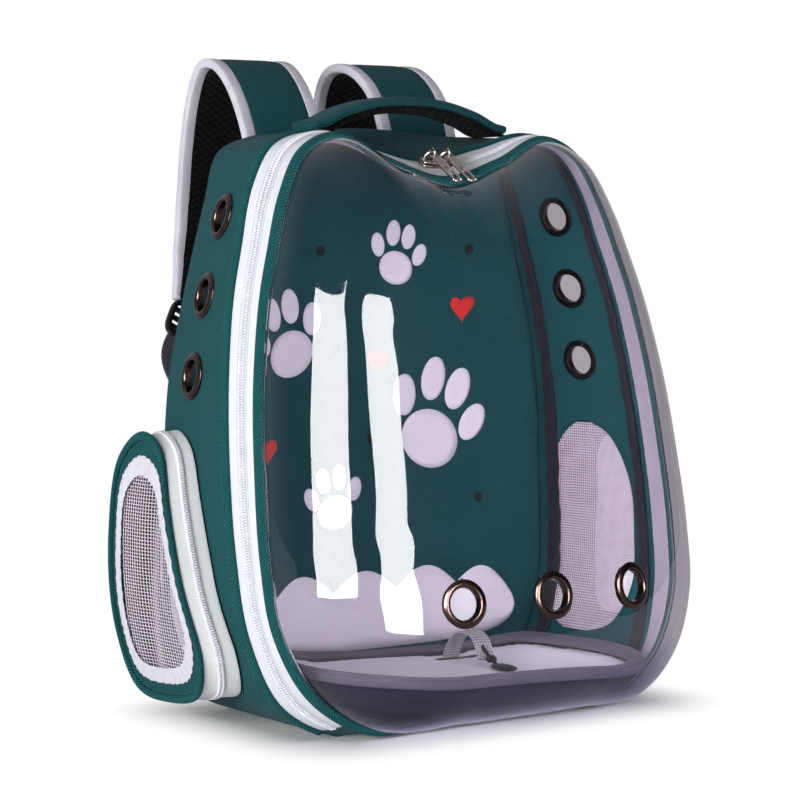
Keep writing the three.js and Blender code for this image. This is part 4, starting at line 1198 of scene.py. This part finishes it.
def mat():
    """Stuffed floor mat with a bound edge."""
    steps = 168
    rows = 18
    s = np.arange(steps) / steps
    shares = np.concatenate([np.linspace(0.0, 0.995, rows), np.linspace(0.987, 0.0, rows)])
    plan = mat_plan(s[:, None], np.broadcast_to(shares, (steps, 2 * rows)))
    under = plan[:, rows:]
    sink = MAT_EDGE + MAT_FILL * (1 - shares[rows:] ** 2)
    under[..., 2] = np.maximum(MAT_FLOOR + 0.6 * MM, under[..., 2] - sink)
    plan[:, :rows, 2] -= 1.2 * MM
    cushion = piece("mat_pad", grid(plan, (True, False), flip=True), LILAC, ("mat",))
    swell(cushion, 4, 2.5 * MM)
    plan_uv(cushion)
    middle, out = (np.zeros(len(cushion.data.polygons) * 3, np.float32) for _ in range(2))
    cushion.data.polygons.foreach_get("center", middle)
    cushion.data.polygons.foreach_get("normal", out)
    x, y, z = middle.reshape(-1, 3).T
    rim = polar(mat_plan(s, np.ones(steps))[:, :2], np.array((0, MAT_MIDDLE_Y)))
    share = np.hypot(x, y - MAT_MIDDLE_Y) / rim(np.arctan2(y - MAT_MIDDLE_Y, x))
    # Painted shade: faces turned down, sunk under the top or near the rim take the dark underside colour
    below = (out[2::3] < 0.3) | (z < mat_z(x, y) - 3.5 * MM) | (share > 0.94)
    cushion.data.materials.append(SHADED_UNDERSIDE)
    cushion.data.polygons.foreach_set("material_index", below.astype(np.int32))

    def drop(t, v):
        """Straight down the mat's edge, from just over its top."""
        t, v = np.broadcast_arrays(t, v)
        return mat_plan(t, np.full(t.shape, 1.004)) - np.stack([0 * v, 0 * v, v * 6.6 * MM - 0.8 * MM], -1)

    edge = hoop(roll(drop, s, 0.0, 1.0, -2.0 * MM, 2.4 * MM, 18, 3))
    lap = hoop(roll(mat_plan, s, 0.918, 1.01, -3.6 * MM, 0.7 * MM, 16, 3.5))
    piece("mat_edge", join([edge, lap]), HEM, ("mat_binding",))


def tether():
    """Webbing loop out of a bound slot in the mat, with a cord and a flat thumb tab."""
    rows = TETHER.copy()
    rows[:, 2] += mat_z(rows[:, 0], rows[:, 1])
    band = ribbon(rows, np.full(len(rows), TETHER_WIDTH))
    loop = bar(roll(band, np.linspace(0, 1, 60), 0, 1, -0.8 * MM, 0.8 * MM, 16, 6))
    piece("tether_web", loop, LOOP, ("tether_strap",))
    top = mat_z(TAB_X, TAB_Y) + 1.2 * MM
    turn = np.linspace(0, 2 * pi, 40, endpoint=False)
    t, a = np.meshgrid(np.linspace(0, pi, 14), turn, indexing="ij")
    x = TAB_X + 7.2 * MM * np.sin(t) * np.cos(a)
    y = TAB_Y - 3 * MM + 13 * MM * np.sin(t) * np.sin(a)
    tab = grid(np.stack([x, y, top + 2.6 * MM - 2.4 * MM * np.cos(t)], -1), (False, True))
    cord = TETHER_CORD.copy()
    cord[:, 2] += mat_z(cord[:, 0], cord[:, 1])
    knot = beads(cord[-2:-1], *np.eye(3)[:, None], (4.2 * MM, 4.6 * MM, 3.4 * MM))
    lead = tube(smooth_line(cord, np.linspace(0, 1, 20)), 1.3 * MM, 1.3 * MM, (1, 0, 0))
    piece("tether_tab", join([tab, lead, knot]), BLACK, ("tether_clip",))
    x = np.linspace(41, 82, 16) * MM
    path = np.stack([x, np.full(x.shape, SLOT_Y), mat_z(x, SLOT_Y) + 0.6 * MM], -1)
    slot = tube(path, 3.0 * MM, 1.5 * MM, (0, 0, 1), 10, 2.5)
    piece("tether_slot", slot, BLACK, ())


def inner_bindings():
    """Seam bindings inside the body, slightly lumpy along their length."""
    s = np.arange(BODY_STEPS) / BODY_STEPS
    lump = 0.5 * MM * (np.sin(s * 2 * pi * 90) + np.sin(s * 2 * pi * 37 + 1))
    for name, v0, v1 in (("back", 0.1, 0.2), ("front", 0.89, 0.975)):
        points = roll(gusset, s, v0, v1, -6.2 * MM, -2.5 * MM, 16, 2.6)
        points += normal(gusset, s, np.full(s.shape, (v0 + v1) / 2))[:, None] * lump[:, None, None]
        points[..., 2] = np.maximum(points[..., 2], 2.6 * MM)
        piece("seam_tape_" + name, hoop(points), GREY, (f"inner_binding_{name}",))
    run = np.linspace(-ZIP_END, ZIP_END, BODY_STEPS)
    backing = bar(roll(zip_strip, run, 0.06, 0.8, -2.6 * MM, -1.35 * MM, 16, 6))
    piece("seam_tape_zip", backing, BACKING, ())


# Zip sliders and pulls

def slider_frame(x):
    """A zip slider's place on the coil with its across, along and up directions."""
    middle = np.asarray(ZIP_MIDDLE)
    s = bisect(lambda t: zip_strip(t, middle)[..., 0] - x, -0.02, 0.02)
    up = normal(zip_strip, s, middle)
    along = unit(np.array((1.0, 0, 0)) - up * up[0])
    return zip_strip(s, middle) + up * 4.7 * MM, along, np.cross(up, along), up


def zip_sliders():
    """Slider bodies with bails, and pulls with a ring, a bar and an open end, each pull on its own body."""
    turn = np.linspace(0, 2 * pi, 32, endpoint=False)
    tilt = np.array((0, np.cos(PULL_LEAN), np.sin(PULL_LEAN)))
    face = np.array((0, -np.sin(PULL_LEAN), np.cos(PULL_LEAN)))
    wide = np.array((1.0, 0, 0))
    for side, x in SLIDER_X.items():
        place, along, across, up = slider_frame(x)
        shape = np.linspace(-6.2, 6.2, 15) * MM
        plan = np.stack([shape, 0 * shape, 0 * shape], -1) @ np.stack([along, across, up])
        plates = (place + plan + up * lift * MM for lift in (-1.3, 1.3))
        parts = [tube(plate, 4.4 * MM, 1.1 * MM, up, 16, 3.5) for plate in plates]
        arc = np.linspace(0, pi, 21)
        bail = (place - np.outer(np.cos(arc), along) * 4.8 * MM
                + np.outer(1 * MM + 6.9 * MM * np.sin(arc) ** 0.6, up))
        parts.append(tube(bail, 1.5 * MM, 1.0 * MM, across, 10, 2.5))
        piece("slider_" + side, join(parts), NICKEL, ("zip_slider_" + side,))
        pivot = place + up * 7.6 * MM
        ring = pivot + PULL_RING * (np.outer(np.cos(turn), tilt) + np.outer(np.sin(turn), face))
        bars = [tube(ring, 1.0 * MM, 0.85 * MM, wide, 10, 2, loop=True)]
        rail = np.linspace(-4.2, -36, 20) * MM
        for sign in (-1, 1):
            path = pivot + np.outer(rail, tilt) + sign * PULL_RING * wide
            bars.append(tube(path, 1.15 * MM, 1.15 * MM, face, 10, 3))
        for start, stop in ((-4.2, -21.5), (-34.5, -37)):
            path = pivot + np.outer(np.linspace(start, stop, 10) * MM, tilt)
            bars.append(tube(path, 3.2 * MM, 0.8 * MM, face, 14, 5))
        node = "zip_pull_" + side
        piece("pull_bar_" + side, join(bars), NICKEL, (node,), body="pull_" + side)


# Print on the inside of the back

def blot(x, z, outline):
    """Flat filled shape on the back's inner face, from its middle out to an outline in millimetres."""
    shares = np.linspace(0, 1, 5)
    flat = np.array((x, z)) * MM + outline[:, None] * MM * shares[None, :, None]
    depth = np.full(flat.shape[:2], PRINT_Y)
    return grid(np.stack([flat[..., 0], depth, flat[..., 1]], -1), (True, False))


def oval(wide, high, lean=0.0):
    """Ellipse outline, leaning sideways."""
    turn = np.linspace(0, 2 * pi, 40, endpoint=False)
    flat = np.stack([wide * np.cos(turn), high * np.sin(turn)], -1)
    c, s = np.cos(lean), np.sin(lean)
    return flat @ np.array([(c, s), (-s, c)])


def heart(size):
    """Heart outline from the usual sixteen-sine-cubed curve."""
    t = np.linspace(0, 2 * pi, 60, endpoint=False)
    x = 16 * np.sin(t) ** 3
    y = 13 * np.cos(t) - 5 * np.cos(2 * t) - 2 * np.cos(3 * t) - np.cos(4 * t)
    return np.stack([x, y], -1)[::-1] * size / 16


def paw(x, z, size, lean):
    """Paw print: one wide pad and four toes about it, turned by lean."""
    c, s = np.cos(lean), np.sin(lean)
    spots = [(0, -0.18, 0.52, 0.42, 0.0), (-0.66, 0.28, 0.2, 0.3, 0.35), (-0.24, 0.66, 0.21, 0.32, 0.1),
             (0.24, 0.66, 0.21, 0.32, -0.1), (0.66, 0.28, 0.2, 0.3, -0.35)]
    return [
        blot(x + size * (c * a - s * b), z + size * (s * a + c * b), oval(w * size, h * size, lean + tip))
        for a, b, w, h, tip in spots
    ]


def scallops():
    """Band low on the back's inner face: level below, five half-sine bumps above, its ends rounded off."""
    across = np.linspace(-1, 1, 161)
    high = (1 - across ** 6) ** 0.5
    low = 54 - 22 * high
    rise = 22 * high + 15 * high * np.abs(np.sin(2.5 * pi * (across + 1)))
    share = np.linspace(0, 1, 6)
    z = low[:, None] + (rise + 22 * high)[:, None] * share
    x = np.broadcast_to(144 * across[:, None], z.shape)
    depth = np.full(z.shape, PRINT_Y)
    return grid(np.stack([x * MM, depth, z * MM], -1), flip=True)


def print_motifs():
    """White paws over a scalloped band, red hearts and black dots, each a thin film of ink."""
    white = [spot for row in PAWS for spot in paw(*row)] + [scallops()]
    red = [blot(x, z, heart(size)) for x, z, size in HEARTS]
    black = [blot(x, z, oval(DOT_SIZE, DOT_SIZE)) for x, z in DOTS]
    for name, spots, ink in (("white", white, INK_WHITE), ("red", red, INK_RED), ("black", black, INK_BLACK)):
        thicken(piece("print_" + name, join(spots), ink, ()), PRINT_THICK)


# Stage: floor, lamps, world and camera

def sheet(name, patch, finish):
    """A mesh object of the stage, from a patch."""
    verts, faces, _ = patch
    mesh = bpy.data.meshes.new(name)
    mesh.from_pydata(verts.tolist(), [], faces.tolist())
    mesh.materials.append(finish)
    obj = bpy.data.objects.new(name, mesh)
    bpy.context.scene.collection.objects.link(obj)
    return obj


def floor():
    """Pale floor that takes a shadow near the part and fades to white outside a box about its foot."""
    pale = Finish("pale_floor", (0.9, 0.9, 0.9, 1), 0.9)
    away = pale.coordinates("Object")
    for operation, value in (
        ("SUBTRACT", FOOTPRINT_MIDDLE),
        ("ABSOLUTE", None),
        ("SUBTRACT", FOOTPRINT_HALF),
        ("MAXIMUM", (0, 0, 0)),
    ):
        step = pale.node("ShaderNodeVectorMath", operation=operation)
        pale.links.new(away, step.inputs[0])
        if value:
            step.inputs[1].default_value = value
        away = step.outputs["Vector"]
    near = pale.node("ShaderNodeVectorMath", operation="LENGTH")
    pale.links.new(away, near.inputs[0])
    fade = pale.node("ShaderNodeMapRange", interpolation_type="SMOOTHSTEP")
    fade.inputs["From Max"].default_value = SHADOW_REACH
    pale.links.new(near.outputs["Value"], fade.inputs["Value"])
    white = pale.math("MAXIMUM", fade.outputs["Result"], SHADOW_LIFT)
    rays = pale.node("ShaderNodeLightPath")
    straight, through = rays.outputs["Is Camera Ray"], rays.outputs["Is Transmission Ray"]
    seen = pale.math("MULTIPLY", white, pale.math("MAXIMUM", straight, through))
    glow = pale.node("ShaderNodeEmission")
    pale.links.new(pale.math("MAXIMUM", straight, FLOOR_THROUGH), glow.inputs["Strength"])
    blend = pale.node("ShaderNodeMixShader")
    pale.links.new(seen, blend.inputs[0])
    pale.links.new(pale.shader.outputs[0], blend.inputs[1])
    pale.links.new(glow.outputs[0], blend.inputs[2])
    pale.links.new(blend.outputs[0], pale.nodes["Material Output"].inputs["Surface"])
    across = np.linspace(-FLOOR_HALF, FLOOR_HALF, 9)
    x, y = np.meshgrid(across, across, indexing="xy")
    sheet("floor", grid(np.stack([x, y, 0 * x - 0.2 * MM], -1), flip=True), pale.material)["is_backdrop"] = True


def stage():
    """Floor, a soft key from the left, a fill, a top light, two softboxes and a bright backdrop."""
    floor()
    for name, place, size, power in LAMPS:
        lamp = bpy.data.lights.new(name, "AREA")
        lamp.size = size
        lamp.energy = power
        obj = bpy.data.objects.new(name, lamp)
        obj.location = place
        obj.rotation_euler = (LAMP_AIM - Vector(place)).to_track_quat("-Z", "Y").to_euler()
        obj.visible_glossy = False
        obj.visible_transmission = False
        bpy.context.scene.collection.objects.link(obj)
    for name, edges in CARDS.items():
        softbox(name, *edges)
    backdrop()
    bpy.context.scene.view_settings.view_transform = "Standard"


def softbox(name, left, right):
    """Glowing card seen only in reflections, between two edges of bearings and heights from the dome."""
    rows = np.linspace(0, 1, 31)
    first, last = (np.radians(smooth_line(edge, rows))[:, None] for edge in (left, right))
    turn, lift = np.moveaxis(first + (last - first) * np.linspace(0, 1, 7)[:, None], -1, 0)
    aim = np.stack([np.sin(turn) * np.cos(lift), -np.cos(turn) * np.cos(lift), np.sin(lift)], -1)
    glow = Finish(name, (1, 1, 1, 1), 1)
    card = glow.node("ShaderNodeEmission", Strength=CARD_GLOW)
    glow.links.new(card.outputs[0], glow.nodes["Material Output"].inputs["Surface"])
    obj = sheet(name, grid(CARD_EYE + CARD_AWAY * aim), glow.material)
    obj.visible_camera = obj.visible_diffuse = obj.visible_shadow = obj.visible_transmission = False
    obj.light_linking.receiver_collection = MIRRORS
    obj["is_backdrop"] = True


def backdrop():
    """World: white to the eye, bright through the clear sheet, dim as light, dark in front-facing mirrors."""
    world = bpy.data.worlds.new("studio")
    bpy.context.scene.world = world
    world.use_nodes = True
    nodes, links = world.node_tree.nodes, world.node_tree.links
    path = nodes.new("ShaderNodeLightPath")
    split = nodes.new("ShaderNodeSeparateXYZ")
    links.new(nodes.new("ShaderNodeTexCoord").outputs["Generated"], split.inputs[0])
    mirrored_light = nodes.new("ShaderNodeMath")
    mirrored_light.operation = "ADD"
    for socket, (axis, ends) in enumerate(WORLD_MIRROR):
        ramp = nodes.new("ShaderNodeMapRange")
        for name, value in zip(("From Min", "From Max", "To Min", "To Max"), ends):
            ramp.inputs[name].default_value = value
        links.new(split.outputs[axis], ramp.inputs["Value"])
        links.new(ramp.outputs["Result"], mirrored_light.inputs[socket])
    shade = WORLD_LIGHT
    for ray, light in (
        ("Is Camera Ray", (1, 1, 1, 1)),
        ("Is Transmission Ray", WORLD_THROUGH),
        ("Is Glossy Ray", mirrored_light.outputs[0]),
    ):
        pick = nodes.new("ShaderNodeMix")
        pick.data_type = "RGBA"
        links.new(path.outputs[ray], pick.inputs[0])
        for socket, value in ((pick.inputs[6], shade), (pick.inputs[7], light)):
            if isinstance(value, tuple):
                socket.default_value = value
            else:
                links.new(value, socket)
        shade = pick.outputs[2]
    links.new(shade, nodes["Background"].inputs["Color"])


def camera():
    """The photograph's view: 37 degrees to the left of the front, 4 degrees above level."""
    lens = bpy.data.cameras.new("camera")
    lens.lens = 121.5
    lens.sensor_width = 36
    view = bpy.data.objects.new("camera", lens)
    view.location = (-1.1838, -1.5415, 0.3589)
    view.rotation_euler = (radians(86), 0, radians(-37))
    bpy.context.scene.collection.objects.link(view)
    bpy.context.scene.camera = view


camera()
stage()
body_cloth()
back_panel()
zip_band()
clear_dome()
eyelets()
for name in ("left", "right"):
    pocket(name)
    strap(name)
handle()
mat()
tether()
inner_bindings()
zip_sliders()
print_motifs()

bpy.context.view_layer.update()
boxes = {"cad": [list(corner) for corner in CAD_BOX], "visual": [list(corner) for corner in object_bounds()]}
